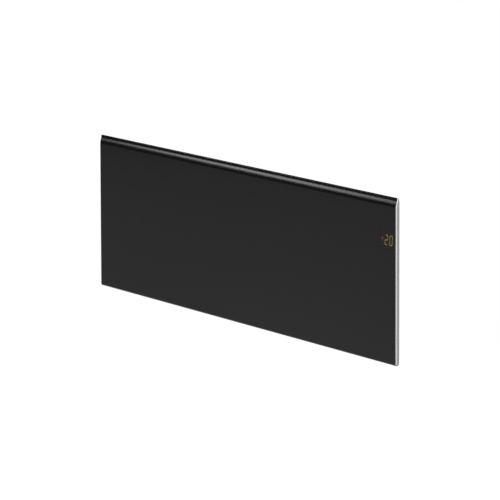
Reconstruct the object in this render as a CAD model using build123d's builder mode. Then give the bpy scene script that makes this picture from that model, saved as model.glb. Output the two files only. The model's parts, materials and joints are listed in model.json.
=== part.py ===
from build123d import *
import os
from math import cos, radians, sin, tan

os.makedirs("parts", exist_ok=True)

# Slim wall-hung electric panel heater, in millimetres.
# X runs to the right seen from the room, Y towards the wall, Z up.
# The wall is the plane Y = 0 and the origin is the middle of the wall bracket's screw pattern.

# Overall size
panel_width = 1396.0
panel_height = 370.0
wall_to_front = 84.0
shell_depth = 8.0

# Sheet thicknesses
skin = 0.8
shield_sheet = 0.6
casing_sheet = 0.8
back_sheet = 0.6
bracket_sheet = 1.5

# Side outline of the shell, from the front face over the rolled top
roll_height = 22.5
shoulder_radius = 40.0
shoulder_turn = 20.0
hollow_radius = 12.0
hollow_turn = 17.0
lip_radius = 2.2
lip_turn = 142.0
tail_turn = 35.0
bottom_radius = 4.5
heel_radius = 1.2
heel_turn = 8.0
heel_height = 13.0
lip_height = 10.0

# End strips
strip_thickness = 2.0
strip_bevel = 1.9
spigot_height = 24.0
spigot_length = 12.0
spigot_z = 140.0
spigot_gap = 0.3

# Heat shield, inside the shell behind the front skin
shield_end_gap = 2.0
shield_top_gap = 9.0
shield_bottom_gap = 1.0

# Rear casing, which is centred on the panel
casing_width = 1200.0
casing_height = 320.0
wall_gap = 24.0
flange = 12.0
flange_end_gap = 1.0
vent_pitch = 12.0
vent_width = 5.0
vent_end_margin = 30.0
vent_side_margin = 7.0
rivet_radius = 1.5
rivet_head_height = 0.9
rivet_head_taper = 40.0
rivet_pitch = 140.0

# Display
digit_z = 90.0
window_x = 658.0
window_width = 62.0
window_height = 44.0
window_corner = 3.0
window_rim = 2.0
window_gap = 0.05
window_thickness = 2.2
module_x = 659.0
module_width = 54.0
module_height = 32.0
gasket_inset = 1.0
gasket_depth = 4.0

# Thermostat housing
housing_left = 600.0
housing_right = 690.0
housing_bottom = 52.0
housing_top = 158.0
housing_wall = 2.0
housing_back_y = -46.0
housing_nose_y = -73.5
housing_shoulder_x = 640.0
housing_corner = 4.0
foot_x = 645.0
foot_width = 16.0
foot_length = 9.0
foot_thickness = 1.5
foot_screw_radius = 1.75
key_width = 14.0
key_depth = 9.0
key_pitch = 17.0
key_travel = 1.2
key_gap = 0.25
key_middle_x = 634.0
key_y = -66.0
board_y = -75.0
board_thickness = 1.6
board_left = 604.0
board_right = 680.0
board_bottom = 58.0
board_top = 150.0

# Heating element
element_y = -50.0
element_z = -100.0
fin_reach = 32.0
fin_thickness = 2.0
fin_half_angle = 35.0
fin_hub_radius = 6.5
fins_half_length = 505.0
rod_half_length = 530.0
rod_radius = 4.0
element_bracket_x = 520.0
element_bracket_height = 56.0
element_bracket_back_y = -32.0
element_bracket_foot = 14.0

# Mains switch and cable inlet, on the right side plate
switch_z = -95.0
inlet_z = -138.0
inlet_radius = 3.8
rocker_axis_x = 597.0
rocker_tilt = 10.0
rocker_pin_radius = 1.2
rocker_pin_reach = 1.2

# Wall bracket and the pins that the heater turns on
upright_x = 300.0
upright_width = 30.0
upright_depth = 22.0
upright_half_height = 150.0
screw_spacing_z = 240.0
screw_radius = 2.75
pivot_y = -13.0
pivot_z = -135.0
pivot_radius = 3.0
latch_z = 130.0
tilt_limit = 25.0

# Sizes shared by several pieces
edge_break = 0.6
running_gap = 0.05
blade_width = 6.3
blade_thickness = 0.8
blade_length = 8.0
lead_radius = 1.2

# Places that follow from the sizes above
front_y = -wall_to_front
shell_y = front_y + shell_depth
half_width = panel_width / 2
shell_half = half_width - strip_thickness
top_z = panel_height / 2
bottom_z = -top_z
shield_back_y = shell_y - skin
shield_front_y = shield_back_y - shield_sheet
casing_half = casing_width / 2
casing_top_z = casing_height / 2
casing_back_y = -wall_gap
side_inner_x = casing_half - casing_sheet
back_inner_y = casing_back_y - back_sheet
casing_mid_y = (shield_back_y + casing_back_y) / 2
casing_depth = casing_back_y - shield_back_y
channel_depth = casing_depth - back_sheet
channel_mid_y = casing_mid_y - back_sheet / 2
board_rear_y = board_y + board_thickness
module_front_y = front_y + window_thickness
foot_screw_places = [(foot_x, housing_top + foot_length / 2), (foot_x, housing_bottom - foot_length / 2)]
side_rivet_x = side_inner_x - flange / 2
rivet_columns = [i * rivet_pitch for i in range(-4, 5)]
side_rivet_places = [(side * side_rivet_x, i * rivet_pitch / 2) for side in (-1, 1) for i in (-1, 0, 1)]
front_rivet_z = casing_top_z - flange / 2
back_rivet_z = casing_top_z - casing_sheet - flange / 2
front_rivet_places = [(x, side * front_rivet_z) for x in rivet_columns for side in (-1, 1)]
front_rivet_places += side_rivet_places
back_rivet_places = [(x, side * back_rivet_z) for x in rivet_columns for side in (-1, 1)]
back_rivet_places += side_rivet_places


def across(y):
    """Plane across the heater at depth y; a positive extrude from it goes towards the room."""
    return Plane.XZ.offset(-y)


def save(piece, node):
    """Label a finished piece and write it under its node's name."""
    piece.part.label = node
    export_step(piece.part, f"parts/{node}.step")


def shell_outline(inset=0.0):
    """Edges of the shell's side outline, drawn in (Y, Z); inset draws it in at the front, top and bottom."""
    face_y = front_y + inset
    low_z = bottom_z + inset
    lean = radians(shoulder_turn - hollow_turn)
    rise = shoulder_radius * sin(radians(shoulder_turn))
    rise += hollow_radius * (sin(radians(shoulder_turn)) - sin(lean))
    lip_rise = (roll_height - rise - lip_radius * (1 - sin(lean))) / cos(lean)
    heel = radians(heel_turn)
    heel_foot_z = low_z + heel_radius * (1 - sin(heel))
    heel_top_z = bottom_z + heel_height
    heel_foot_y = shell_y - (heel_top_z - heel_foot_z) * tan(heel)
    with BuildLine() as outline:
        face = Line((face_y, bottom_z + bottom_radius), (face_y, top_z - roll_height))
        shoulder = JernArc(face @ 1, face % 1, shoulder_radius - inset, -shoulder_turn)
        hollow = JernArc(shoulder @ 1, shoulder % 1, hollow_radius + inset, hollow_turn)
        lip = Line(hollow @ 1, hollow @ 1 + (hollow % 1) * lip_rise)
        roll = JernArc(lip @ 1, lip % 1, lip_radius - inset, -lip_turn)
        tail_radius = (shell_y - (roll @ 1).X) / (1 - cos(radians(tail_turn)))
        tail = JernArc(roll @ 1, roll % 1, tail_radius, -tail_turn)
        back = Line(tail @ 1, (shell_y, heel_top_z))
        heel_line = Line(back @ 1, (heel_foot_y, heel_foot_z))
        heel_arc = JernArc(heel_line @ 1, heel_line % 1, heel_radius, heel_turn - 90)
        foot = Line(heel_arc @ 1, (front_y + bottom_radius, low_z))
        JernArc(foot @ 1, foot % 1, bottom_radius - inset, -90)
    return outline.edges()


# Front panel: one steel skin, open at the back between two lips, with the display's window opening
lip_top_z = top_z - roll_height + lip_height / 2
lip_bottom_z = bottom_z + heel_height + lip_height - skin
with BuildPart() as front_panel:
    with BuildSketch(Plane.YZ.offset(-shell_half)) as skin_section:
        make_face(shell_outline())
        offset(skin_section.face(), amount=-skin, mode=Mode.SUBTRACT)
        with Locations((shell_y, (lip_top_z + lip_bottom_z) / 2)):
            Rectangle(4 * skin, lip_top_z - lip_bottom_z, mode=Mode.SUBTRACT)
    extrude(amount=2 * shell_half)
    with BuildSketch(across(front_y)):
        with Locations((window_x, digit_z)):
            RectangleRounded(window_width, window_height, window_corner)
    extrude(amount=-2 * skin, mode=Mode.SUBTRACT)
save(front_panel, "front_panel")

# End strips: the shell's outline in aluminium, bevelled towards the room, with two spigots each
spigot_front_y = front_y + skin + spigot_gap
spigot_back_y = shield_front_y - spigot_gap
spigot_mid_y = (spigot_front_y + spigot_back_y) / 2
with BuildPart() as end_strip_right:
    with BuildSketch(Plane.YZ.offset(shell_half)):
        make_face(shell_outline())
    with BuildSketch(Plane.YZ.offset(half_width)):
        make_face(shell_outline(strip_bevel))
    loft(ruled=True)
    with BuildSketch(Plane.YZ.offset(shell_half)):
        with Locations((spigot_mid_y, spigot_z), (spigot_mid_y, -spigot_z)):
            Rectangle(spigot_back_y - spigot_front_y, spigot_height)
    extrude(amount=-spigot_length)
save(end_strip_right, "end_strip_right")

with BuildPart() as end_strip_left:
    mirror(end_strip_right.part, about=Plane.YZ)
save(end_strip_left, "end_strip_left")

# Heat shield: sheet behind the front, cut out for the display and drilled for what is fixed to it
shield_half = shell_half - shield_end_gap
shield_top_z = top_z - shield_top_gap
shield_bottom_z = bottom_z + heel_height + shield_bottom_gap
with BuildPart() as heat_shield:
    with BuildSketch(across(shield_back_y)):
        with Locations((0, (shield_top_z + shield_bottom_z) / 2)):
            Rectangle(2 * shield_half, shield_top_z - shield_bottom_z)
        with Locations((window_x, digit_z)):
            RectangleRounded(window_width + 2 * window_rim, window_height + 2 * window_rim, window_corner,
                             mode=Mode.SUBTRACT)
        with Locations(*front_rivet_places):
            Circle(rivet_radius, mode=Mode.SUBTRACT)
        with Locations(*foot_screw_places):
            Circle(foot_screw_radius, mode=Mode.SUBTRACT)
    extrude(amount=shield_sheet)
save(heat_shield, "heat_shield")

# Display window: smoked sheet flush with the front, with a rim behind the skin
with BuildPart() as display_window:
    with BuildSketch(across(front_y + skin)):
        with Locations((window_x, digit_z)):
            RectangleRounded(window_width - 2 * window_gap, window_height - 2 * window_gap,
                             window_corner - window_gap)
    extrude(amount=skin)
    with BuildSketch(across(front_y + skin)):
        with Locations((window_x, digit_z)):
            RectangleRounded(window_width + 2 * window_rim, window_height + 2 * window_rim, window_corner)
    extrude(amount=-(window_thickness - skin))
save(display_window, "display_window")

# Display module: block that carries the two lit digits and the status lamp
with BuildPart() as display_module:
    with BuildSketch(across(board_y)):
        with Locations((module_x, digit_z)):
            Rectangle(module_width, module_height)
    extrude(amount=board_y - module_front_y)
    chamfer(display_module.faces().sort_by(Axis.Y)[0].edges(), length=edge_break)
save(display_module, "display_module")

# Window gasket: foam frame round the module, behind the window
gasket_margin = 2 * (window_rim - gasket_inset)
with BuildPart() as window_gasket:
    with BuildSketch(across(module_front_y)):
        with Locations((window_x, digit_z)):
            RectangleRounded(window_width + gasket_margin, window_height + gasket_margin, window_corner)
        with Locations((module_x, digit_z)):
            Rectangle(module_width, module_height, mode=Mode.SUBTRACT)
    extrude(amount=-gasket_depth)
save(window_gasket, "window_gasket")

# Rear casing: top and bottom grilles, folded channels with a row of air slots
vent_count = int((casing_width - 2 * vent_end_margin) / vent_pitch)
for grille_node, side in (("top_grille", 1), ("bottom_grille", -1)):
    with BuildPart() as grille:
        with BuildSketch(Plane.YZ.offset(-side_inner_x)):
            with Locations((channel_mid_y, side * (casing_top_z - flange / 2))):
                Rectangle(channel_depth, flange)
            with Locations((channel_mid_y, side * (casing_top_z - casing_sheet - flange / 2))):
                Rectangle(channel_depth - 2 * casing_sheet, flange, mode=Mode.SUBTRACT)
        extrude(amount=2 * side_inner_x)
        with BuildSketch(Plane.XY.offset(side * casing_top_z)):
            with Locations((0, casing_mid_y)):
                with GridLocations(vent_pitch, 1, vent_count, 1):
                    SlotOverall(casing_depth - 2 * vent_side_margin, vent_width, rotation=90)
        extrude(amount=-side * 2 * casing_sheet, mode=Mode.SUBTRACT)
        with BuildSketch(across(shield_back_y + 2 * casing_sheet)):
            with Locations(*[(x, side * front_rivet_z) for x in rivet_columns]):
                Circle(rivet_radius)
        extrude(amount=2 * casing_sheet, mode=Mode.SUBTRACT)
    save(grille, grille_node)

# Rear casing: side plates with flanges; the right one carries the switch, the inlet and a grommet
side_flange_half = casing_top_z - flange - flange_end_gap
switch_hole_y = 14.0
switch_hole_z = 28.0
inlet_thread_radius = 8.0
grommet_y = -58.0
grommet_z = 72.0
grommet_radius = 7.0
for plate_node, side in (("side_plate_left", -1), ("side_plate_right", 1)):
    with BuildPart() as side_plate:
        with BuildSketch(Plane.YZ.offset(side * side_inner_x)):
            with Locations((channel_mid_y, 0)):
                Rectangle(channel_depth, casing_height)
            if side > 0:
                with Locations((element_y, switch_z)):
                    Rectangle(switch_hole_y, switch_hole_z, mode=Mode.SUBTRACT)
                with Locations((element_y, inlet_z)):
                    Circle(inlet_thread_radius, mode=Mode.SUBTRACT)
                with Locations((grommet_y, grommet_z)):
                    Circle(grommet_radius, mode=Mode.SUBTRACT)
        extrude(amount=side * casing_sheet)
        for flange_y in (back_inner_y, shield_back_y + casing_sheet):
            with BuildSketch(across(flange_y)):
                with Locations((side * side_rivet_x, 0)):
                    Rectangle(flange, 2 * side_flange_half)
            extrude(amount=casing_sheet)
        with BuildSketch(across(shield_back_y + 2 * casing_sheet)):
            with Locations(*side_rivet_places):
                Circle(rivet_radius)
        extrude(amount=2 * casing_sheet, mode=Mode.SUBTRACT)
    save(side_plate, plate_node)

# Rear casing: back plate with two pressed grooves and two bands of air slots
groove_z = 60.0
groove_length = 1120.0
groove_width = 9.0
groove_depth = 2.5
back_vent_z = 100.0
back_vent_height = 34.0
back_vent_bays = ((-450.0, 12), (0.0, 29), (450.0, 12))
back_vent_pitch = 18.0
with BuildPart() as back_plate:
    with BuildSketch(across(casing_back_y)):
        Rectangle(casing_width, casing_height)
    extrude(amount=back_sheet)
    with BuildSketch(across(casing_back_y)):
        with Locations((0, groove_z), (0, -groove_z)):
            SlotOverall(groove_length + 2 * back_sheet, groove_width + 2 * back_sheet)
    extrude(amount=groove_depth)
    with BuildSketch(across(casing_back_y)):
        with Locations((0, groove_z), (0, -groove_z)):
            SlotOverall(groove_length, groove_width)
    extrude(amount=groove_depth - back_sheet, mode=Mode.SUBTRACT)
    with BuildSketch(across(casing_back_y)):
        for bay_x, bay_count in back_vent_bays:
            for bay_z in (back_vent_z, -back_vent_z):
                with Locations((bay_x, bay_z)):
                    with GridLocations(back_vent_pitch, 1, bay_count, 1):
                        SlotOverall(back_vent_height, vent_width, rotation=90)
        with Locations(*back_rivet_places):
            Circle(rivet_radius)
    extrude(amount=2 * back_sheet, mode=Mode.SUBTRACT)
save(back_plate, "back_plate")

# Rivets of the rear casing: low domed heads outside, shanks in the plate
with BuildPart() as casing_rivets:
    with BuildSketch(across(casing_back_y)):
        with Locations(*back_rivet_places):
            Circle(rivet_radius)
    extrude(amount=back_sheet)
    with BuildSketch(across(casing_back_y)):
        with Locations(*back_rivet_places):
            Circle(2 * rivet_radius)
    extrude(amount=-rivet_head_height, taper=rivet_head_taper)
save(casing_rivets, "casing_rivets")

# Rivets that hold the casing's front flanges to the heat shield, with a set head on the far side
set_head_radius = 2.2
set_head_height = 0.6
with BuildPart() as shield_rivets:
    with BuildSketch(across(shield_back_y + casing_sheet)):
        with Locations(*front_rivet_places):
            Circle(rivet_radius)
    extrude(amount=casing_sheet + shield_sheet + set_head_height)
    with BuildSketch(across(shield_back_y + casing_sheet)):
        with Locations(*front_rivet_places):
            Circle(2 * rivet_radius)
    extrude(amount=-rivet_head_height, taper=rivet_head_taper)
    with BuildSketch(across(shield_front_y)):
        with Locations(*front_rivet_places):
            Circle(set_head_radius)
    extrude(amount=set_head_height)
save(shield_rivets, "shield_rivets")

# Heating element: extruded aluminium fins round a bore
with BuildPart() as element_fins:
    with BuildSketch(Plane.YZ.offset(-fins_half_length)) as fin_section:
        with Locations((element_y, element_z)):
            Circle(fin_hub_radius)
            Rectangle(fin_thickness, 2 * fin_reach, rotation=fin_half_angle)
            Rectangle(fin_thickness, 2 * fin_reach, rotation=-fin_half_angle)
            Circle(rod_radius + running_gap, mode=Mode.SUBTRACT)
    extrude(amount=2 * fins_half_length)
save(element_fins, "element_fins")

with BuildPart() as element_rod:
    with BuildSketch(Plane.YZ.offset(-rod_half_length)):
        with Locations((element_y, element_z)):
            Circle(rod_radius)
    extrude(amount=2 * rod_half_length)
    chamfer(element_rod.edges().filter_by(GeomType.CIRCLE), length=edge_break)
save(element_rod, "element_rod")

# Element terminals: a pin out of each end of the rod, with a blade for its lead
terminal_pin_radius = 1.3
terminal_pin_length = 8.0
with BuildPart() as element_terminals:
    for side in (-1, 1):
        with BuildSketch(Plane.YZ.offset(side * rod_half_length)):
            with Locations((element_y, element_z)):
                Circle(terminal_pin_radius)
        extrude(amount=side * terminal_pin_length)
        with BuildSketch(Plane.YZ.offset(side * (rod_half_length + terminal_pin_length))):
            with Locations((element_y, element_z)):
                Rectangle(blade_thickness, blade_width)
        extrude(amount=side * blade_length)
save(element_terminals, "element_terminals")

# Insulating bushes, spool shaped, one in each element bracket
bracket_plate = 1.2
bush_radius = 8.0
bush_rim_radius = 10.5
bush_half_width = 4.0
with BuildPart() as element_bushes:
    for side in (-1, 1):
        bush_x = side * element_bracket_x
        with BuildSketch(Plane.YZ.offset(bush_x - bush_half_width)):
            with Locations((element_y, element_z)):
                Circle(bush_radius)
        extrude(amount=2 * bush_half_width)
        for rim_x in (bush_x - bush_half_width, bush_x + bracket_plate / 2):
            with BuildSketch(Plane.YZ.offset(rim_x)):
                with Locations((element_y, element_z)):
                    Circle(bush_rim_radius)
            extrude(amount=bush_half_width - bracket_plate / 2)
        with BuildSketch(Plane.YZ.offset(bush_x - bush_half_width)):
            with Locations((element_y, element_z)):
                Circle(rod_radius)
        extrude(amount=2 * bush_half_width, mode=Mode.SUBTRACT)
save(element_bushes, "element_bushes")

# Element brackets: a standing plate with a foot on the heat shield
bracket_corner = 3.0
bracket_reach = element_bracket_back_y - shield_back_y
for bracket_node, side in (("element_bracket_left", -1), ("element_bracket_right", 1)):
    with BuildPart() as element_bracket:
        with BuildSketch(Plane.YZ.offset(side * element_bracket_x - bracket_plate / 2)):
            with Locations((shield_back_y + bracket_reach / 2, element_z)):
                RectangleRounded(bracket_reach, element_bracket_height, bracket_corner)
            with Locations((element_y, element_z)):
                Circle(bush_radius, mode=Mode.SUBTRACT)
        extrude(amount=bracket_plate)
        with BuildSketch(across(shield_back_y + bracket_plate)):
            with Locations((side * (element_bracket_x + element_bracket_foot / 2), element_z)):
                Rectangle(element_bracket_foot, element_bracket_height - 2 * bracket_corner)
        extrude(amount=bracket_plate)
    save(element_bracket, bracket_node)

# Overheat cut-out above the element, hung from the shelf of a folded bracket
cutout_x = 420.0
cutout_y = -52.0
cutout_radius = 8.0
cutout_height = 8.0
cutout_chamfer = 0.8
cutout_blade_spacing = 9.0
shelf_z = -48.0
shelf_sheet = 1.0
shelf_width = 30.0
shelf_back_y = -38.0
shelf_slot_width = 14.0
shelf_slot_depth = 9.0
with BuildPart() as cutout_bracket:
    with BuildSketch(across(shield_back_y + shelf_sheet)):
        with Locations((cutout_x, shelf_z + shelf_width / 2)):
            Rectangle(shelf_width, shelf_width)
    extrude(amount=shelf_sheet)
    with BuildSketch(Plane.XY.offset(shelf_z)):
        with Locations((cutout_x, (shield_back_y + shelf_back_y) / 2)):
            Rectangle(shelf_width, shelf_back_y - shield_back_y)
        with Locations((cutout_x, cutout_y)):
            Rectangle(shelf_slot_width, shelf_slot_depth, mode=Mode.SUBTRACT)
    extrude(amount=shelf_sheet)
save(cutout_bracket, "cutout_bracket")

with BuildPart() as thermal_cutout:
    with BuildSketch(Plane.XY.offset(shelf_z - cutout_height)):
        with Locations((cutout_x, cutout_y)):
            Circle(cutout_radius)
    extrude(amount=cutout_height)
    chamfer(thermal_cutout.edges().group_by(Axis.Z)[0], length=cutout_chamfer)
    with BuildSketch(Plane.XY.offset(shelf_z)):
        with Locations((cutout_x, cutout_y)):
            with GridLocations(cutout_blade_spacing, 1, 2, 1):
                Rectangle(blade_thickness, blade_width)
    extrude(amount=shelf_sheet + blade_length)
save(thermal_cutout, "thermal_cutout")

# Terminal block for the supply: three poles with barriers between them, and their screws
block_x = 568.0
block_z = -52.0
block_pitch = 12.0
block_height = 16.0
block_back_y = -60.0
pole_radius = 2.6
pole_depth = 7.0
barrier_groove_width = 1.6
barrier_groove_depth = 4.0
pole_screw_radius = 2.4
pole_screw_sink = 3.0
pole_screw_length = 4.0
pole_slot_width = 0.7
pole_slot_depth = 1.0
pole_places = [(block_x + i * block_pitch, block_z) for i in (-1, 0, 1)]
with BuildPart() as terminal_block:
    with BuildSketch(across(block_back_y)):
        with Locations((block_x, block_z)):
            Rectangle(3 * block_pitch, block_height)
    extrude(amount=block_back_y - shield_back_y)
    with BuildSketch(across(block_back_y)):
        with Locations(*pole_places):
            Circle(pole_radius)
    extrude(amount=pole_depth, mode=Mode.SUBTRACT)
    with BuildSketch(across(block_back_y)):
        with Locations((block_x, block_z)):
            with GridLocations(block_pitch, 1, 2, 1):
                Rectangle(barrier_groove_width, block_height)
    extrude(amount=barrier_groove_depth, mode=Mode.SUBTRACT)
save(terminal_block, "terminal_block")

with BuildPart() as terminal_screws:
    with BuildSketch(across(block_back_y - pole_screw_sink)):
        with Locations(*pole_places):
            Circle(pole_screw_radius)
    extrude(amount=pole_screw_length)
    with BuildSketch(across(block_back_y - pole_screw_sink)):
        with Locations(*pole_places):
            Rectangle(3 * pole_screw_radius, pole_slot_width)
    extrude(amount=pole_slot_depth, mode=Mode.SUBTRACT)
save(terminal_screws, "terminal_screws")

# Earth terminal beside the block: a stud on the heat shield with a washer and a nut
earth_x = 560.0
earth_z = -6.0
earth_stud_radius = 2.0
earth_stud_length = 11.0
earth_washer_radius = 5.0
earth_washer_thickness = 1.0
earth_nut_half_width = 3.5
earth_nut_height = 3.2
with BuildPart() as earth_terminal:
    with BuildSketch(across(shield_back_y + earth_stud_length)):
        with Locations((earth_x, earth_z)):
            Circle(earth_stud_radius)
    extrude(amount=earth_stud_length)
    with BuildSketch(across(shield_back_y + earth_washer_thickness)):
        with Locations((earth_x, earth_z)):
            Circle(earth_washer_radius)
    extrude(amount=earth_washer_thickness)
    with BuildSketch(across(shield_back_y + earth_washer_thickness + earth_nut_height)):
        with Locations((earth_x, earth_z)):
            RegularPolygon(earth_nut_half_width, 6, major_radius=False)
    extrude(amount=earth_nut_height)
save(earth_terminal, "earth_terminal")


# Thermostat housing: a wedge in plan, so that it hides behind the panel's end
wedge_slope = (housing_back_y - housing_nose_y) / (housing_right - housing_shoulder_x)


def housing_plan(inset):
    """Corners of the housing's plan, drawn in (X, Y), taken in by a wall."""
    return [
        (housing_left + inset, shield_back_y),
        (housing_right - inset, shield_back_y),
        (housing_right - inset, housing_nose_y + inset * wedge_slope - inset),
        (housing_shoulder_x, housing_back_y - inset),
        (housing_left + inset, housing_back_y - inset),
    ]


key_places = [("key_minus", key_middle_x - key_pitch), ("key_mode", key_middle_x),
              ("key_plus", key_middle_x + key_pitch)]
key_centres = [(x, key_y) for node, x in key_places]
air_slot_x = 644.0
air_slot_y = -68.0
air_slot_pitch = 7.0
air_slot_count = 6
air_slot_length = 9.0
air_slot_width = 3.0
post_inset = 5.0
post_radius = 3.0
post_hole_radius = 1.5
post_places = [(board_left + post_inset, board_bottom + post_inset),
               (board_left + post_inset, board_top - post_inset)]
foot_reach = foot_length + housing_wall
foot_middles = [(foot_x, housing_top - housing_wall + foot_reach / 2),
                (foot_x, housing_bottom + housing_wall - foot_reach / 2)]
with BuildPart() as control_housing:
    with BuildSketch(Plane.XY.offset(housing_bottom)):
        Polygon(*housing_plan(0), align=None)
    extrude(amount=housing_top - housing_bottom)
    fillet(control_housing.edges().filter_by(Axis.Z).group_by(Axis.Y)[-1], radius=housing_corner)
    with BuildSketch(Plane.XY.offset(housing_bottom + housing_wall)):
        Polygon(*housing_plan(housing_wall), align=None)
    extrude(amount=housing_top - housing_bottom - 2 * housing_wall, mode=Mode.SUBTRACT)
    with BuildSketch(Plane.XY.offset(housing_top)):
        with Locations(*key_centres):
            Rectangle(key_width + 2 * key_gap, key_depth + 2 * key_gap)
    extrude(amount=-2 * housing_wall, mode=Mode.SUBTRACT)
    with BuildSketch(Plane.XY.offset(housing_bottom)):
        with Locations((air_slot_x, air_slot_y)):
            with GridLocations(air_slot_pitch, 1, air_slot_count, 1):
                SlotOverall(air_slot_length, air_slot_width, rotation=90)
    extrude(amount=2 * housing_wall, mode=Mode.SUBTRACT)
    with BuildSketch(Plane.YZ.offset(housing_left)):
        with Locations((grommet_y, grommet_z)):
            Circle(grommet_radius)
    extrude(amount=2 * housing_wall, mode=Mode.SUBTRACT)
    with BuildSketch(across(housing_back_y - housing_wall / 2)):
        with Locations(*post_places):
            Circle(post_radius)
    extrude(amount=housing_back_y - housing_wall / 2 - board_rear_y)
    with BuildSketch(across(shield_back_y + foot_thickness)):
        with Locations(*foot_middles):
            Rectangle(foot_width, foot_reach)
        with Locations(*foot_screw_places):
            Circle(foot_screw_radius, mode=Mode.SUBTRACT)
    extrude(amount=foot_thickness)
save(control_housing, "control_housing")

# Screws that hold the housing's feet to the heat shield, with crossed recesses
foot_screw_head_radius = 3.2
foot_screw_head_height = 2.2
foot_screw_overhang = 1.6
foot_screw_tip_y = shield_front_y - foot_screw_overhang
recess_width = 0.8
recess_length = 4.0
recess_depth = 1.2
foot_screw_top_y = shield_back_y + foot_thickness + foot_screw_head_height
with BuildPart() as housing_screws:
    with BuildSketch(across(foot_screw_top_y)):
        with Locations(*foot_screw_places):
            Circle(foot_screw_head_radius)
    extrude(amount=foot_screw_head_height)
    with BuildSketch(across(shield_back_y + foot_thickness)):
        with Locations(*foot_screw_places):
            Circle(foot_screw_radius)
    extrude(amount=shield_back_y + foot_thickness - foot_screw_tip_y)
    with BuildSketch(across(foot_screw_top_y)):
        with Locations(*foot_screw_places):
            Rectangle(recess_length, recess_width)
            Rectangle(recess_width, recess_length)
    extrude(amount=recess_depth, mode=Mode.SUBTRACT)
save(housing_screws, "housing_screws")

# Circuit board, screwed to the housing's posts
board_screw_head_radius = 2.6
board_screw_head_height = 1.6
with BuildPart() as control_board:
    with BuildSketch(across(board_rear_y)):
        with Locations(((board_left + board_right) / 2, (board_bottom + board_top) / 2)):
            Rectangle(board_right - board_left, board_top - board_bottom)
        with Locations(*post_places):
            Circle(post_hole_radius, mode=Mode.SUBTRACT)
    extrude(amount=board_thickness)
save(control_board, "control_board")

with BuildPart() as board_screws:
    with BuildSketch(across(board_y)):
        with Locations(*post_places):
            Circle(board_screw_head_radius)
    extrude(amount=board_screw_head_height)
    with BuildSketch(across(board_y)):
        with Locations(*post_places):
            Circle(post_hole_radius)
    extrude(amount=-board_thickness)
save(board_screws, "board_screws")

# Relay and lead connector on the board's rear
relay_x = 622.0
relay_z = 116.0
relay_width = 20.0
relay_height = 15.5
relay_depth = 15.0
with BuildPart() as power_relay:
    with BuildSketch(across(board_rear_y)):
        with Locations((relay_x, relay_z)):
            RectangleRounded(relay_width, relay_height, 1)
    extrude(amount=-relay_depth)
    fillet(power_relay.faces().sort_by(Axis.Y)[-1].edges(), radius=edge_break)
save(power_relay, "power_relay")

connector_x = 624.0
connector_z = 88.0
connector_width = 20.0
connector_height = 9.0
connector_depth = 11.0
way_pitch = 6.0
way_width = 4.0
way_height = 6.0
way_depth = 2.0
with BuildPart() as board_connector:
    with BuildSketch(across(board_rear_y)):
        with Locations((connector_x, connector_z)):
            Rectangle(connector_width, connector_height)
    extrude(amount=-connector_depth)
    with BuildSketch(across(board_rear_y + connector_depth)):
        with Locations((connector_x, connector_z)):
            with GridLocations(way_pitch, 1, 3, 1):
                Rectangle(way_width, way_height)
    extrude(amount=way_depth, mode=Mode.SUBTRACT)
save(board_connector, "board_connector")

# Small switches under the keys: a block on the board and a plunger each
key_stem_room = 8.5
tact_top_z = housing_top - housing_wall - key_stem_room
tact_width = 7.0
tact_height = 5.0
plunger_radius = 1.7
plunger_length = tact_height / 2
tact_depth = 10.9
with BuildPart() as tact_switches:
    with BuildSketch(across(board_rear_y)):
        with Locations(*[(x, tact_top_z - tact_height) for x, y in key_centres]):
            Rectangle(tact_width, tact_height)
    extrude(amount=-tact_depth)
    with BuildSketch(Plane.XY.offset(tact_top_z - plunger_length)):
        with Locations(*key_centres):
            Circle(plunger_radius)
    extrude(amount=plunger_length)
save(tact_switches, "tact_switches")

# Air temperature sensor on two legs, above the floor's slots
sensor_x = 659.5
sensor_bottom_z = 59.0
sensor_height = 7.0
sensor_radius = 2.5
sensor_nose = 1.5
sensor_leg_radius = 0.5
sensor_leg_spacing = 3.0
sensor_leg_length = 3.0
sensor_stand_off = 4.0
sensor_y = board_rear_y + sensor_stand_off
with BuildPart() as room_sensor:
    with BuildSketch(across(board_rear_y)):
        with Locations((sensor_x, sensor_bottom_z + sensor_leg_length)):
            with GridLocations(sensor_leg_spacing, 1, 2, 1):
                Circle(sensor_leg_radius)
    extrude(amount=-sensor_leg_length)
    with BuildSketch(Plane.XY.offset(sensor_bottom_z)):
        with Locations((sensor_x, sensor_y)):
            Circle(sensor_radius)
    extrude(amount=sensor_height)
    fillet(room_sensor.edges().filter_by(GeomType.CIRCLE).group_by(Axis.Z)[0], radius=sensor_nose)
save(room_sensor, "room_sensor")

# Push keys: cap, collar that stops under the housing's top, and stem down to the small switch
key_rise = 3.0
key_corner = 1.2
key_edge_radius = 0.8
key_collar = 0.8
key_collar_height = 1.6
key_stop_gap = 0.1
key_stem_radius = 2.2
key_stem_gap = 0.3
collar_top_z = housing_top - housing_wall - key_stop_gap
stem_bottom_z = tact_top_z + key_travel + key_stem_gap
for key_node, key_x in key_places:
    with BuildPart() as key:
        with BuildSketch(Plane.XY.offset(collar_top_z)):
            with Locations((key_x, key_y)):
                RectangleRounded(key_width, key_depth, key_corner)
        extrude(amount=housing_top + key_rise - collar_top_z)
        fillet(key.faces().sort_by(Axis.Z)[-1].edges(), radius=key_edge_radius)
        with BuildSketch(Plane.XY.offset(collar_top_z)):
            with Locations((key_x, key_y)):
                Rectangle(key_width + 2 * key_collar, key_depth + 2 * key_collar)
        extrude(amount=-key_collar_height)
        with BuildSketch(Plane.XY.offset(stem_bottom_z)):
            with Locations((key_x, key_y)):
                Circle(key_stem_radius)
        extrude(amount=collar_top_z - key_collar_height - stem_bottom_z)
    save(key, key_node)

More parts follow.
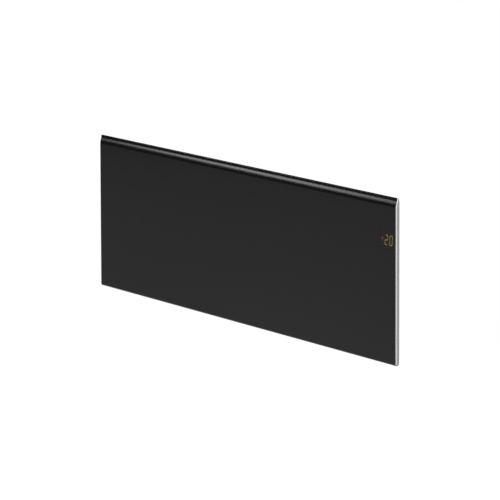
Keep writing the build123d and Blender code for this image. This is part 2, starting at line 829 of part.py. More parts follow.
# Grommet where the leads pass from the casing into the housing
grommet_lip = 1.8
grommet_lip_thickness = 1.5
grommet_wall = 2.0
with BuildPart() as lead_grommet:
    with BuildSketch(Plane.YZ.offset(side_inner_x)):
        with Locations((grommet_y, grommet_z)):
            Circle(grommet_radius)
    extrude(amount=casing_sheet + housing_wall)
    for lip_x in (side_inner_x - grommet_lip_thickness, housing_left + housing_wall):
        with BuildSketch(Plane.YZ.offset(lip_x)):
            with Locations((grommet_y, grommet_z)):
                Circle(grommet_radius + grommet_lip)
        extrude(amount=grommet_lip_thickness)
    with BuildSketch(Plane.YZ.offset(side_inner_x - grommet_lip_thickness)):
        with Locations((grommet_y, grommet_z)):
            Circle(grommet_radius - grommet_wall)
    extrude(amount=housing_wall + casing_sheet + 2 * grommet_lip_thickness, mode=Mode.SUBTRACT)
save(lead_grommet, "lead_grommet")

# Mains switch: snap-in body with a bezel, rocker on two pins, and tabs at the back
switch_back_x = 578.0
bezel_thickness = 2.0
bezel_rim = 2.0
bezel_corner = 1.5
bezel_chamfer = 0.7
well_width = 11.0
well_half_height = 12.2
well_floor_x = 587.0
with BuildPart() as switch_body:
    with BuildSketch(Plane.YZ.offset(switch_back_x)):
        with Locations((element_y, switch_z)):
            Rectangle(switch_hole_y, switch_hole_z)
    extrude(amount=casing_half - switch_back_x)
    with BuildSketch(Plane.YZ.offset(casing_half)):
        with Locations((element_y, switch_z)):
            RectangleRounded(switch_hole_y + 2 * bezel_rim, switch_hole_z + 2 * bezel_rim, bezel_corner)
    extrude(amount=bezel_thickness)
    chamfer(switch_body.faces().sort_by(Axis.X)[-1].edges(), length=bezel_chamfer)
    with BuildSketch(Plane.YZ.offset(well_floor_x)):
        with Locations((element_y, switch_z)):
            Rectangle(well_width, 2 * well_half_height)
    extrude(amount=casing_half + bezel_thickness - well_floor_x, mode=Mode.SUBTRACT)
    with BuildSketch(across(element_y + switch_hole_y / 2)):
        with Locations((rocker_axis_x, switch_z)):
            Circle(rocker_pin_radius + running_gap)
    extrude(amount=switch_hole_y, mode=Mode.SUBTRACT)
save(switch_body, "switch_body")

rocker_end_radius = 11.9
rocker_ridge = 6.0
rocker_end = 5.0
rocker_keel = 6.0
rocker_keel_half_width = 4.0
rocker_width = 10.6
rocker_tip = (rocker_end_radius ** 2 - rocker_end ** 2) ** 0.5
rocker_plane = Plane(
    origin=(rocker_axis_x, element_y - rocker_width / 2, switch_z),
    x_dir=(cos(radians(rocker_tilt)), 0, sin(radians(rocker_tilt))),
    z_dir=(0, -1, 0),
)
with BuildPart() as switch_rocker:
    with BuildSketch(rocker_plane):
        with BuildLine():
            Polyline((rocker_end, rocker_tip), (rocker_ridge, 0), (rocker_end, -rocker_tip))
            RadiusArc((rocker_end, -rocker_tip), (-rocker_end, -rocker_tip), rocker_end_radius)
            Polyline((-rocker_end, -rocker_tip), (-rocker_keel, -rocker_keel_half_width),
                     (-rocker_keel, rocker_keel_half_width), (-rocker_end, rocker_tip))
            RadiusArc((-rocker_end, rocker_tip), (rocker_end, rocker_tip), rocker_end_radius)
        make_face()
    extrude(amount=-rocker_width)
    with BuildSketch(across(element_y + rocker_width / 2 + rocker_pin_reach)):
        with Locations((rocker_axis_x, switch_z)):
            Circle(rocker_pin_radius)
    extrude(amount=rocker_width + 2 * rocker_pin_reach)
save(switch_rocker, "switch_rocker")

switch_tab_pitch = 9.0
with BuildPart() as switch_tabs:
    with BuildSketch(Plane.YZ.offset(switch_back_x)):
        with Locations((element_y, switch_z)):
            with GridLocations(1, switch_tab_pitch, 1, 3):
                Rectangle(blade_width, blade_thickness)
    extrude(amount=-blade_length)
save(switch_tabs, "switch_tabs")

# Cable inlet: threaded gland with its fluted cap outside and its nut inside
gland_hex = 11.0
gland_collar = 5.0
gland_thread_length = 10.0
gland_nut_thickness = 4.0
cap_radius = 10.0
cap_length = 11.0
cap_dome = 4.0
flute_count = 12
flute_radius = 1.5
flute_depth = 0.7
cap_back_x = casing_half + gland_collar
with BuildPart() as gland_body:
    with BuildSketch(Plane.YZ.offset(casing_half)):
        with Locations((element_y, inlet_z)):
            RegularPolygon(gland_hex, 6, major_radius=False)
    extrude(amount=gland_collar)
    with BuildSketch(Plane.YZ.offset(casing_half - gland_thread_length)):
        with Locations((element_y, inlet_z)):
            Circle(inlet_thread_radius)
    extrude(amount=gland_thread_length)
    with BuildSketch(Plane.YZ.offset(casing_half - gland_thread_length)):
        with Locations((element_y, inlet_z)):
            Circle(inlet_radius)
    extrude(amount=gland_thread_length + gland_collar, mode=Mode.SUBTRACT)
save(gland_body, "gland_body")

with BuildPart() as gland_cap:
    with BuildSketch(Plane.YZ.offset(cap_back_x)):
        with Locations((element_y, inlet_z)):
            Circle(cap_radius)
    extrude(amount=cap_length)
    fillet(gland_cap.edges().group_by(Axis.X)[-1], radius=cap_dome)
    with BuildSketch(Plane.YZ.offset(cap_back_x)):
        with Locations((element_y, inlet_z)):
            Circle(inlet_radius)
            with PolarLocations(cap_radius + flute_radius - flute_depth, flute_count):
                Circle(flute_radius)
    extrude(amount=cap_length, mode=Mode.SUBTRACT)
save(gland_cap, "gland_cap")

with BuildPart() as gland_nut:
    with BuildSketch(Plane.YZ.offset(side_inner_x)):
        with Locations((element_y, inlet_z)):
            RegularPolygon(gland_hex, 6, major_radius=False)
            Circle(inlet_thread_radius, mode=Mode.SUBTRACT)
    extrude(amount=-gland_nut_thickness)
save(gland_nut, "gland_nut")

# Pivot brackets on the casing's back: two ears round a pin, with a toe that stops the tilt
ear_half_span = 8.0
ear_radius = 7.0
base_thickness = 1.5
web_face_y = -bracket_sheet
toe_radius = 13.0
bracket_drop = 18.0
bracket_rise = 20.0
throat_y = pivot_y + 2.0
throat_z = pivot_z - 4.0
cut_past_wall = 5.0
toe_gap = 0.3
toe_stop = web_face_y - pivot_y - toe_gap
toe_angle = -Vector(toe_stop, (toe_radius ** 2 - toe_stop ** 2) ** 0.5).get_angle(Vector(1, 0)) - tilt_limit
toe_y = pivot_y + toe_radius * cos(radians(toe_angle))
toe_z = pivot_z + toe_radius * sin(radians(toe_angle))
base_y = casing_back_y + base_thickness
for bracket_node, side in (("pivot_bracket_left", -1), ("pivot_bracket_right", 1)):
    with BuildPart() as pivot_bracket:
        with BuildSketch(Plane.YZ.offset(side * upright_x - ear_half_span)):
            with Locations((pivot_y, pivot_z)):
                Circle(ear_radius)
            Polygon((casing_back_y, pivot_z - bracket_drop), (toe_y, toe_z), (throat_y, throat_z),
                    (pivot_y, pivot_z + ear_radius), (casing_back_y, pivot_z + bracket_rise), align=None)
        extrude(amount=2 * ear_half_span)
        with BuildSketch(Plane.YZ.offset(side * upright_x - ear_half_span + base_thickness)):
            with Locations(((base_y + cut_past_wall) / 2, pivot_z)):
                Rectangle(cut_past_wall - base_y, 3 * bracket_rise)
        extrude(amount=2 * (ear_half_span - base_thickness), mode=Mode.SUBTRACT)
        with BuildSketch(Plane.YZ.offset(side * upright_x - ear_half_span)):
            with Locations((pivot_y, pivot_z)):
                Circle(pivot_radius)
        extrude(amount=2 * ear_half_span, mode=Mode.SUBTRACT)
    save(pivot_bracket, bracket_node)

pin_overhang = 3.0
pin_half_length = upright_width / 2 + pin_overhang
with BuildPart() as pivot_pins:
    for side in (-1, 1):
        with BuildSketch(Plane.YZ.offset(side * upright_x - pin_half_length)):
            with Locations((pivot_y, pivot_z)):
                Circle(pivot_radius)
        extrude(amount=2 * pin_half_length)
    chamfer(pivot_pins.edges().filter_by(GeomType.CIRCLE), length=edge_break)
save(pivot_pins, "pivot_pins")

# Latch studs on the casing's back, pushed into the bracket's spring clips
stud_neck = 2.5
stud_head = 4.5
stud_head_length = 4.5
stud_nose = 1.6
stud_foot_radius = 6.0
stud_foot_thickness = 1.5
stud_tip_y = -8.0
stud_places = [(upright_x, latch_z), (-upright_x, latch_z)]
with BuildPart() as latch_studs:
    with BuildSketch(across(casing_back_y)):
        with Locations(*stud_places):
            Circle(stud_foot_radius)
    extrude(amount=-stud_foot_thickness)
    with BuildSketch(across(casing_back_y)):
        with Locations(*stud_places):
            Circle(stud_neck)
    extrude(amount=casing_back_y - stud_tip_y)
    with BuildSketch(across(stud_tip_y)):
        with Locations(*stud_places):
            Circle(stud_head)
    extrude(amount=stud_head_length)
    chamfer(latch_studs.edges().group_by(Axis.Y)[-1], length=stud_nose)
save(latch_studs, "latch_studs")

# Wall bracket uprights: channels that lie on the wall, with a hooked slot for each pin
slot_half = pivot_radius + running_gap
slot_rise = 14.0
slot_mouth_gap = 0.5
upright_toe_y = -8.0
upright_nose_y = -upright_depth - pivot_y
cut_margin = 5.0
for upright_node, side in (("bracket_upright_left", -1), ("bracket_upright_right", 1)):
    left_x = side * upright_x - upright_width / 2
    with BuildPart() as upright:
        with BuildSketch(Plane.YZ.offset(left_x)):
            with BuildLine():
                Line((0, upright_half_height), (-upright_depth, upright_half_height))
                Line((-upright_depth, upright_half_height), (-upright_depth, pivot_z))
                RadiusArc((-upright_depth, pivot_z), (pivot_y, pivot_z + upright_nose_y), upright_nose_y)
                Polyline((pivot_y, pivot_z + upright_nose_y), (upright_toe_y, -upright_half_height),
                         (0, -upright_half_height), (0, upright_half_height))
            make_face()
            with Locations((pivot_y, pivot_z)):
                Circle(slot_half, mode=Mode.SUBTRACT)
            with Locations((pivot_y, pivot_z + slot_rise / 2)):
                Rectangle(2 * slot_half, slot_rise, mode=Mode.SUBTRACT)
            with Locations(((pivot_y + slot_half - upright_depth) / 2, pivot_z + slot_rise)):
                Rectangle(upright_depth + pivot_y + slot_half, 2 * (slot_half + slot_mouth_gap),
                          mode=Mode.SUBTRACT)
        extrude(amount=upright_width)
        with BuildSketch(Plane.YZ.offset(left_x + bracket_sheet)):
            with Locations((-bracket_sheet - upright_depth / 2, 0)):
                Rectangle(upright_depth, 2 * (upright_half_height + cut_margin))
        extrude(amount=upright_width - 2 * bracket_sheet, mode=Mode.SUBTRACT)
        with BuildSketch(across(0)):
            with Locations((side * upright_x, 0)):
                with GridLocations(1, screw_spacing_z, 1, 2):
                    Circle(screw_radius)
        extrude(amount=2 * bracket_sheet, mode=Mode.SUBTRACT)
    save(upright, upright_node)

# Wall bracket rails: angles between the uprights, with end tabs against their inner flanges
rail_half = upright_x - upright_width / 2
rail_z = 96.0
rail_height = 24.0
rail_flange = 12.0
rail_flange_gap = 5.0
rail_slot_pitch = 160.0
rail_slot_length = 40.0
rail_slot_width = 8.0
tab_depth = 15.0
tab_height = 18.0
for rail_node, side in (("bracket_rail_top", 1), ("bracket_rail_bottom", -1)):
    with BuildPart() as rail:
        with BuildSketch(across(0)):
            with Locations((0, side * rail_z)):
                Rectangle(2 * rail_half, rail_height)
                with GridLocations(rail_slot_pitch, 1, 3, 1):
                    SlotOverall(rail_slot_length, rail_slot_width, mode=Mode.SUBTRACT)
        extrude(amount=bracket_sheet)
        with BuildSketch(Plane.XY.offset(side * (rail_z + rail_height / 2 - bracket_sheet))):
            with Locations((0, -rail_flange / 2)):
                Rectangle(2 * (rail_half - rail_flange_gap), rail_flange)
        extrude(amount=side * bracket_sheet)
        for end in (-1, 1):
            with BuildSketch(Plane.YZ.offset(end * rail_half)):
                with Locations((-tab_depth / 2, side * rail_z)):
                    Rectangle(tab_depth, tab_height)
            extrude(amount=-end * bracket_sheet)
    save(rail, rail_node)

# Rivets through the rails' tabs and the uprights' flanges, headed on both sides
bracket_rivet_y = -9.0
bracket_rivet_radius = 3.5
bracket_rivet_head = 1.4
bracket_rivet_taper = 30.0
with BuildPart() as bracket_rivets:
    for end in (-1, 1):
        for head_side in (-1, 1):
            with BuildSketch(Plane.YZ.offset(end * rail_half + head_side * bracket_sheet)):
                with Locations((bracket_rivet_y, rail_z), (bracket_rivet_y, -rail_z)):
                    Circle(bracket_rivet_radius)
            extrude(amount=head_side * bracket_rivet_head, taper=bracket_rivet_taper)
save(bracket_rivets, "bracket_rivets")

# Latch springs: a folded leaf in each upright, pinched in round the stud's neck
leaf = 0.8
leaf_width = 14.0
leaf_half_height = 7.5
leaf_bend = 0.6
leaf_gap = 0.1
pinch = stud_neck + leaf_gap + leaf / 2
mouth_y = -19.5
mouth_half = 6.0
nip_y = -15.8
nip_end_y = -14.4
leaf_shoulder_y = -11.6
leaf_half = leaf_half_height - leaf / 2
leaf_path = [(mouth_y, mouth_half), (nip_y, pinch), (nip_end_y, pinch), (leaf_shoulder_y, leaf_half),
             (web_face_y - leaf / 2, leaf_half)]
leaf_line = [(y, latch_z + z) for y, z in leaf_path] + [(y, latch_z - z) for y, z in reversed(leaf_path)]
for spring_node, side in (("latch_spring_left", -1), ("latch_spring_right", 1)):
    with BuildPart() as latch_spring:
        with BuildSketch(Plane.YZ.offset(side * upright_x - leaf_width / 2)):
            with BuildLine() as leaf_route:
                FilletPolyline(*leaf_line, radius=leaf_bend)
            trace(leaf_route.line, line_width=leaf)
        extrude(amount=leaf_width)
    save(latch_spring, spring_node)

# Internal leads, clipped along the heat shield; each route is a list of points chosen by hand
live_routes = [
    [(556, -68, -60), (556, -67, -74), (553, -58, -86), (561, -50, -86), (570, -50, -86)],
    [(570, -50, -95), (560, -46, -95), (560, -38, -76), (574, -38, -40), (584, -46, 10),
     (586, -56, 56), (592, -60, 72), (606, -60, 74), (616, -60, 82), (618, -62.4, 88)],
    [(424.5, -52, -39), (424.5, -54, -28), (440, -66, -18), (490, -71, -16), (540, -70, 10),
     (572, -66, 50), (586, -57, 71), (606, -56, 71), (620, -56, 80), (624, -62.4, 88)],
    [(415.5, -52, -39), (415.5, -56, -26), (428, -68, -22), (480, -73, -26), (530, -68, -50),
     (560, -60, -76), (568, -52, -98), (558, -50, -104), (546, -50, -102)],
]
neutral_routes = [
    [(-546, -50, -100), (-557, -50, -98), (-568, -56, -82), (-568, -68, -50), (-550, -74, -20),
     (-500, -74, -8), (500, -74, -8), (545, -74, -16),
     (566, -70, -30), (568, -68, -44)],
]
earth_routes = [
    [(580, -68, -44), (580, -68, -34), (576, -68, -22), (568, -71, -13), (563, -72.2, -9)],
]


bend_share = 0.45


def bend_radii(route):
    """Largest radius that each corner of a route leaves room for."""
    radii = []
    for before, corner, after in zip(route, route[1:], route[2:]):
        run_in = Vector(corner) - Vector(before)
        run_out = Vector(after) - Vector(corner)
        half_turn = radians(run_in.get_angle(run_out) / 2)
        radii.append(bend_share * min(run_in.length, run_out.length) / tan(half_turn))
    return radii


def lay_leads(routes, node):
    """Sweep a round lead along each route and save them as one node."""
    with BuildPart() as leads:
        for route in routes:
            with BuildLine() as path:
                FilletPolyline(*route, radius=bend_radii(route))
            with BuildSketch(path.line ^ 0):
                Circle(lead_radius)
            sweep(path=path.line)
    save(leads, node)


lay_leads(live_routes, "live_leads")
lay_leads(neutral_routes, "neutral_lead")
lay_leads(earth_routes, "earth_lead")

# Clips that hold the long lead to the heat shield
clip_size = 8.0
clip_height = 5.0
clip_pitch = 200.0
clipped_lead_y = -74.0
clipped_lead_z = -8.0
clip_reach = 2 * clip_pitch + clip_size
with BuildPart() as lead_clips:
    with BuildSketch(across(shield_back_y + clip_height)):
        with Locations((0, clipped_lead_z)):
            with GridLocations(clip_pitch, 1, 5, 1):
                Rectangle(clip_size, clip_size)
    extrude(amount=clip_height)
    with BuildSketch(Plane.YZ.offset(-clip_reach)):
        with Locations((clipped_lead_y, clipped_lead_z)):
            Circle(lead_radius)
    extrude(amount=2 * clip_reach, mode=Mode.SUBTRACT)
save(lead_clips, "lead_clips")
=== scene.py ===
"""Looks of a wall-hung electric panel heater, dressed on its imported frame.

Lengths are metres. X runs to the right seen from the room, Y towards the wall, Z up; the wall is Y = 0.
"""

import json
import logging
from dataclasses import dataclass, field
from enum import Enum
from math import cos, pi, radians, sin, sqrt, tan
from typing import ClassVar, Iterable

import bmesh
import bpy
from mathutils import Matrix, Vector


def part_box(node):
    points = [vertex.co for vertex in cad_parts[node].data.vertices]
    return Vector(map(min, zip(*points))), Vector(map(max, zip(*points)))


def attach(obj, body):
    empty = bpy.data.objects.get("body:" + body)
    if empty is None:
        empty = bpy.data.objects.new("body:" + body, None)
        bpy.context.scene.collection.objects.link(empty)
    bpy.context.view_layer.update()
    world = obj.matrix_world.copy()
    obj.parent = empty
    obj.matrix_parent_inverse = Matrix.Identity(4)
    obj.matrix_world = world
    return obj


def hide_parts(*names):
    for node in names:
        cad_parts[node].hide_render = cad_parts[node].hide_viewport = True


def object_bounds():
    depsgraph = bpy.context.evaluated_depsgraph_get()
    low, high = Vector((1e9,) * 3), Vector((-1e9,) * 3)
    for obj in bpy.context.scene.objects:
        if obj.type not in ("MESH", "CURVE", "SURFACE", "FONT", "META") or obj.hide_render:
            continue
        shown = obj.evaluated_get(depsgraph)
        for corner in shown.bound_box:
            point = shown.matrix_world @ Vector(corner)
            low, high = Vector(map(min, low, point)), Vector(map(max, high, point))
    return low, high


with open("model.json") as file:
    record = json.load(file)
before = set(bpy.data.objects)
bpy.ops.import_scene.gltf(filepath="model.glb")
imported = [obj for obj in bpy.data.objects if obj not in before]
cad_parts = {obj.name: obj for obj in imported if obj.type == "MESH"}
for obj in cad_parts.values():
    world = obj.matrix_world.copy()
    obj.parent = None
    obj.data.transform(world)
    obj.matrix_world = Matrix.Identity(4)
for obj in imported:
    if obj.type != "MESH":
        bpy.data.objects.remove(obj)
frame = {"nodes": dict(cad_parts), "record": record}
CAD_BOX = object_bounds()

LOG = logging.getLogger("panel_heater")
HEATER = "heater"
MM = 0.001
CORNER_STEPS = 4
SHARP_FROM = radians(30)
TOUCHING = 1e-6
X_AXIS = Vector((1, 0, 0))
Y_AXIS = Vector((0, 1, 0))
Z_AXIS = Vector((0, 0, 1))

Triple = tuple[float, float, float]
Span = tuple[float, float]
Mesh = bmesh.types.BMesh
Vertex = bmesh.types.BMVert
Socket = bpy.types.NodeSocket
Value = float | Triple | Socket

# Parts of a pattern that a finish uses: the busy middle of a noise, or all of it
BUSY = (0.3, 0.7)
ALL = (0.0, 1.0)


class Detail(Enum):
    """How much finer noise a noise holds, in octaves."""

    PEBBLED = 1.0
    SOFT = 2.0
    CLOUDY = 3.0
    CHALKY = 4.0


class Wiring:
    """A node tree that is being wired."""

    def __init__(self, tree: bpy.types.NodeTree) -> None:
        """Take the tree."""
        self.tree = tree

    def put(self, socket: Socket, value: Value) -> None:
        """Give an input its value.

        Args:
            socket: the input.
            value: a number, a triple, or an output to link.
        """
        if isinstance(value, bpy.types.NodeSocket):
            self.tree.links.new(value, socket)
        elif socket.type == "RGBA":
            socket.default_value = (*value, 1.0)
        else:
            socket.default_value = value

    def feed(self, node: bpy.types.Node, **inputs: Value) -> None:
        """Give a node's inputs, named in lower case with underscores, their values."""
        for name, value in inputs.items():
            self.put(next(s for s in node.inputs if s.name.lower().replace(" ", "_") == name), value)

    def node(self, kind: str, *ordered: Value, **named: Value) -> bpy.types.Node:
        """Add a node.

        Args:
            kind: its type.
            ordered: values of its first inputs, in order.
            named: values of inputs by name, in lower case with underscores.

        Returns:
            The new node.
        """
        made = self.tree.nodes.new(kind)
        for socket, value in zip(made.inputs, ordered):
            self.put(socket, value)
        self.feed(made, **named)
        return made

    def rays(self, *kinds: str) -> Socket:
        """Tell kinds of ray apart.

        Args:
            kinds: the kinds that count.

        Returns:
            1 for those kinds and 0 for the rest.
        """
        path = self.node("ShaderNodeLightPath")
        total = path.outputs[kinds[0]]
        for kind in kinds[1:]:
            either = self.node("ShaderNodeMath", total, path.outputs[kind])
            either.operation = "MAXIMUM"
            total = either.outputs["Value"]
        return total


class Shading(Wiring):
    """A finish's material: a Principled surface with patterns on Object coordinates."""

    def __init__(self, name: str) -> None:
        """Make the material.

        Args:
            name: its name.
        """
        self.material = bpy.data.materials.new(name)
        self.material.use_nodes = True
        super().__init__(self.material.node_tree)
        self.surface = self.tree.nodes["Principled BSDF"]
        self.place = self.node("ShaderNodeTexCoord").outputs["Object"]

    def set(self, **inputs: Value) -> None:
        """Give the surface's inputs their values."""
        self.feed(self.surface, **inputs)

    def stretched(self, stretch: Triple, shift: Triple = (0.0, 0.0, 0.0)) -> Socket:
        """Give Object coordinates, stretched and then shifted along X, Y and Z."""
        made = self.node("ShaderNodeMapping", vector=self.place, location=shift, scale=stretch)
        return made.outputs["Vector"]

    def noise(self, grain: float, detail: Detail = Detail.SOFT, stretch: Triple = (1.0, 1.0, 1.0)) -> Socket:
        """Give noise from 0 to 1, whose grain a small stretch draws out along an axis.

        Args:
            grain: size of its features.
            detail: how much finer noise it holds.
            stretch: scale along X, Y and Z.

        Returns:
            The noise.
        """
        made = self.node("ShaderNodeTexNoise", vector=self.stretched(stretch), scale=1 / grain,
                         detail=detail.value)
        return made.outputs["Fac"]

    def cells(self, size: float) -> Socket:
        """Give flat cells of a size, each of one random value from 0 to 1."""
        made = self.node("ShaderNodeTexVoronoi", vector=self.place, scale=1 / size)
        return self.node("ShaderNodeSeparateColor", color=made.outputs["Color"]).outputs["Red"]

    def tint(self, pattern: Socket, stops: tuple[float, ...], *colours: Triple) -> Socket:
        """Turn a pattern into colours.

        Args:
            pattern: what picks the colour, from 0 to 1.
            stops: places along the pattern.
            colours: the colours there.

        Returns:
            The colour.
        """
        made = self.node("ShaderNodeValToRGB", fac=pattern)
        elements = made.color_ramp.elements
        while len(elements) < len(stops):
            elements.new(1.0)
        for element, stop, colour in zip(elements, stops, colours):
            element.position = stop
            element.color = (*colour, 1.0)
        return made.outputs["Color"]

    def relief(self, height: Socket, depth: float) -> None:
        """Add a bump, over any that is there.

        Args:
            height: its height, from 0 to 1.
            depth: how deep it is.
        """
        bump = self.node("ShaderNodeBump", height=height, distance=depth)
        normal = self.surface.inputs["Normal"]
        if normal.is_linked:
            self.feed(bump, normal=normal.links[0].from_socket)
        self.set(normal=bump.outputs["Normal"])


@dataclass(frozen=True)
class Finish:
    """A finish: the plain values that every one has; each kind adds its own pattern.

    From one end of a pattern's span to the other, the tone is the share of the colour that is added to
    it, and the polish is what is added to the roughness.
    """

    colour: Triple
    roughness: float
    specular: float = 0.5
    metallic: ClassVar[float] = 0.0
    span: ClassVar[Span] = BUSY
    tone: ClassVar[Span] = (-0.06, 0.06)
    polish: ClassVar[Span] = (-0.05, 0.05)

    def material(self, name: str) -> bpy.types.Material:
        """Build the finish's material.

        Args:
            name: its name.

        Returns:
            The material.
        """
        shading = Shading(name)
        shading.set(base_color=self.colour, roughness=self.roughness, metallic=self.metallic,
                    specular_ior_level=self.specular)
        self.pattern(shading)
        return shading.material

    def pattern(self, shading: Shading) -> None:
        """Add the finish's pattern to its surface."""
        raise NotImplementedError

    def shades(self) -> list[Triple]:
        """Give the colour at both ends of the tone."""
        return [tuple(channel * (1 + share) for channel in self.colour) for share in self.tone]

    def toned(self, shading: Shading, pattern: Socket) -> Socket:
        """Give the colour, varied by the tone along a pattern."""
        return shading.tint(pattern, self.span, *self.shades())

    def polished(self, shading: Shading, pattern: Socket) -> Socket:
        """Give the roughness, varied by the polish along a pattern."""
        ends = (self.roughness + change for change in self.polish)
        return shading.node("ShaderNodeMapRange", pattern, *self.span, *ends).outputs["Result"]


@dataclass(frozen=True)
class PowderCoat(Finish):
    """Baked powder paint: a fine pebbled grain with a slow unevenness under it."""

    grain: float = 0.5 * MM
    grain_depth: float = 0.006 * MM
    peel: float = 7 * MM
    peel_depth: float = 0.008 * MM
    cloud: float = 90 * MM
    tone = (-0.08, 0.08)
    polish = (-0.03, 0.03)

    def pattern(self, shading: Shading) -> None:
        """Add pebbles, orange peel and a faint cloudiness.

        Args:
            shading: the material that is wired.
        """
        pebbles = shading.noise(self.grain, Detail.PEBBLED)
        shading.set(base_color=self.toned(shading, shading.noise(self.cloud, Detail.CLOUDY)),
                    roughness=self.polished(shading, pebbles))
        shading.relief(shading.noise(self.peel), self.peel_depth)
        shading.relief(pebbles, self.grain_depth)


@dataclass(frozen=True)
class BrushedMetal(Finish):
    """Metal with fine straight scratches along one axis."""

    along: Vector = field(default_factory=lambda: Z_AXIS)
    scratch: float = 0.25 * MM
    scratch_depth: float = 0.004 * MM
    drawn_out: float = 0.012
    metallic = 1.0
    tone = (-0.07, 0.05)
    polish = (-0.06, 0.06)

    def pattern(self, shading: Shading) -> None:
        """Add long scratches that vary colour, gloss and height.

        Args:
            shading: the material that is wired.
        """
        stretch = tuple(self.drawn_out if axis else 1.0 for axis in self.along)
        scratches = shading.noise(self.scratch, Detail.CLOUDY, stretch)
        shading.set(base_color=self.toned(shading, scratches), roughness=self.polished(shading, scratches))
        shading.relief(scratches, self.scratch_depth)


@dataclass(frozen=True)
class GalvanisedSheet(Finish):
    """Hot-dipped sheet: flat zinc crystals that catch the light apart."""

    spangle: float = 7 * MM
    spangle_depth: float = 0.004 * MM
    bloom: float = 0.6 * MM
    bloom_depth: float = 0.003 * MM
    metallic = 1.0
    span = ALL
    tone = (-0.08, 0.06)
    polish = (-0.05, 0.07)

    def pattern(self, shading: Shading) -> None:
        """Add crystals of two sizes and a dull bloom.

        Args:
            shading: the material that is wired.
        """
        crystals = shading.cells(self.spangle)
        shading.set(base_color=self.toned(shading, crystals), roughness=self.polished(shading, crystals))
        shading.relief(shading.cells(self.spangle / 3), self.spangle_depth)
        shading.relief(shading.noise(self.bloom), self.bloom_depth)


@dataclass(frozen=True)
class PlatedMetal(Finish):
    """Small plated parts: a cloudy bright coat with fine tumbling marks."""

    cast: Triple = (0.03, 0.02, -0.03)
    stops: Span = (0.35, 0.65)
    cloud: float = 6 * MM
    mark: float = 0.4 * MM
    mark_depth: float = 0.003 * MM
    metallic = 1.0
    polish = (-0.05, 0.07)

    def pattern(self, shading: Shading) -> None:
        """Add clouds with a faint cast of colour, and tumbling marks.

        Args:
            shading: the material that is wired.
        """
        clouds = shading.noise(self.cloud, Detail.CLOUDY)
        tinted = tuple(channel + shift for channel, shift in zip(self.colour, self.cast))
        shading.set(base_color=shading.tint(clouds, self.stops, self.colour, tinted),
                    roughness=self.polished(shading, clouds))
        shading.relief(shading.noise(self.mark), self.mark_depth)


@dataclass(frozen=True)
class HeatTintedSteel(Finish):
    """Stainless tube that has been hot: straw and blue bands run along it."""

    straw: Triple = (1.1, 0.88, 0.62)
    blue: Triple = (0.62, 0.68, 0.92)
    stops: Triple = (0.3, 0.5, 0.7)
    band: float = 60 * MM
    band_stretch: Triple = (1.0, 0.2, 0.2)
    line: float = 0.3 * MM
    line_stretch: Triple = (0.02, 1.0, 1.0)
    line_depth: float = 0.003 * MM
    metallic = 1.0
    polish = (-0.06, 0.06)

    def pattern(self, shading: Shading) -> None:
        """Add bands of heat tint and drawn lines.

        Args:
            shading: the material that is wired.
        """
        bands = shading.noise(self.band, stretch=self.band_stretch)
        straw, blue = (tuple(plain * heat for plain, heat in zip(self.colour, heats))
                       for heats in (self.straw, self.blue))
        lines = shading.noise(self.line, stretch=self.line_stretch)
        shading.set(base_color=shading.tint(bands, self.stops, self.colour, straw, blue),
                    roughness=self.polished(shading, lines))
        shading.relief(lines, self.line_depth)


@dataclass(frozen=True)
class MouldedPlastic(Finish):
    """Moulded plastic with a fine spark-eroded grain and faint flow marks."""

    grain: float = 0.35 * MM
    grain_depth: float = 0.008 * MM
    flow: float = 14 * MM

    def pattern(self, shading: Shading) -> None:
        """Add flow marks and grain.

        Args:
            shading: the material that is wired.
        """
        grain = shading.noise(self.grain)
        shading.set(base_color=self.toned(shading, shading.noise(self.flow)),
                    roughness=self.polished(shading, grain))
        shading.relief(grain, self.grain_depth)


@dataclass(frozen=True)
class UnglazedCeramic(Finish):
    """Pressed ceramic: chalky, with fine dark specks and pores."""

    stops: Triple = (0.25, 0.36, 0.8)
    speck: float = 0.5 * MM
    pore_depth: float = 0.02 * MM
    tone = (-0.35, 0.04)

    def pattern(self, shading: Shading) -> None:
        """Add specks and pores.

        Args:
            shading: the material that is wired.
        """
        specks = shading.noise(self.speck, Detail.CHALKY)
        dark, pale = self.shades()
        shading.set(base_color=shading.tint(specks, self.stops, dark, self.colour, pale))
        shading.relief(specks, self.pore_depth)


@dataclass(frozen=True)
class BoardMask(Finish):
    """Circuit board: glossy solder mask over a faint glass weave."""

    weave: float = 0.45 * MM
    weave_depth: float = 0.008 * MM
    across: Triple = (0.25, 1.0, 1.0)
    upright: Triple = (1.0, 1.0, 0.25)
    cloud: float = 12 * MM
    tone = (-0.12, 0.12)

    def pattern(self, shading: Shading) -> None:
        """Add the weave under the mask, and the mask's own unevenness.

        Args:
            shading: the material that is wired.
        """
        cloud = shading.noise(self.cloud)
        shading.set(base_color=self.toned(shading, cloud), roughness=self.polished(shading, cloud))
        for threads in (self.across, self.upright):
            shading.relief(shading.noise(self.weave, Detail.PEBBLED, threads), self.weave_depth)


@dataclass(frozen=True)
class Sleeving(Finish):
    """Silicone or rubber: soft, with a faint bloom, or with stripes of a second colour."""

    second: Triple | None = None
    stripe: float = 14 * MM
    stripe_edge: Span = (0.48, 0.52)
    stripe_slant: Triple = (1.0, 0.6, 0.8)
    bloom: float = 3 * MM
    skin: float = 0.5 * MM
    skin_depth: float = 0.01 * MM
    tone = (-0.1, 0.12)

    def pattern(self, shading: Shading) -> None:
        """Add the stripes or the bloom, and a skin.

        Args:
            shading: the material that is wired.
        """
        if self.second:
            place = shading.stretched(self.stripe_slant)
            wave = shading.node("ShaderNodeTexWave", vector=place, scale=1 / self.stripe).outputs["Fac"]
            colour = shading.tint(wave, self.stripe_edge, self.colour, self.second)
        else:
            colour = self.toned(shading, shading.noise(self.bloom, Detail.CLOUDY))
        shading.set(base_color=colour)
        shading.relief(shading.noise(self.skin), self.skin_depth)


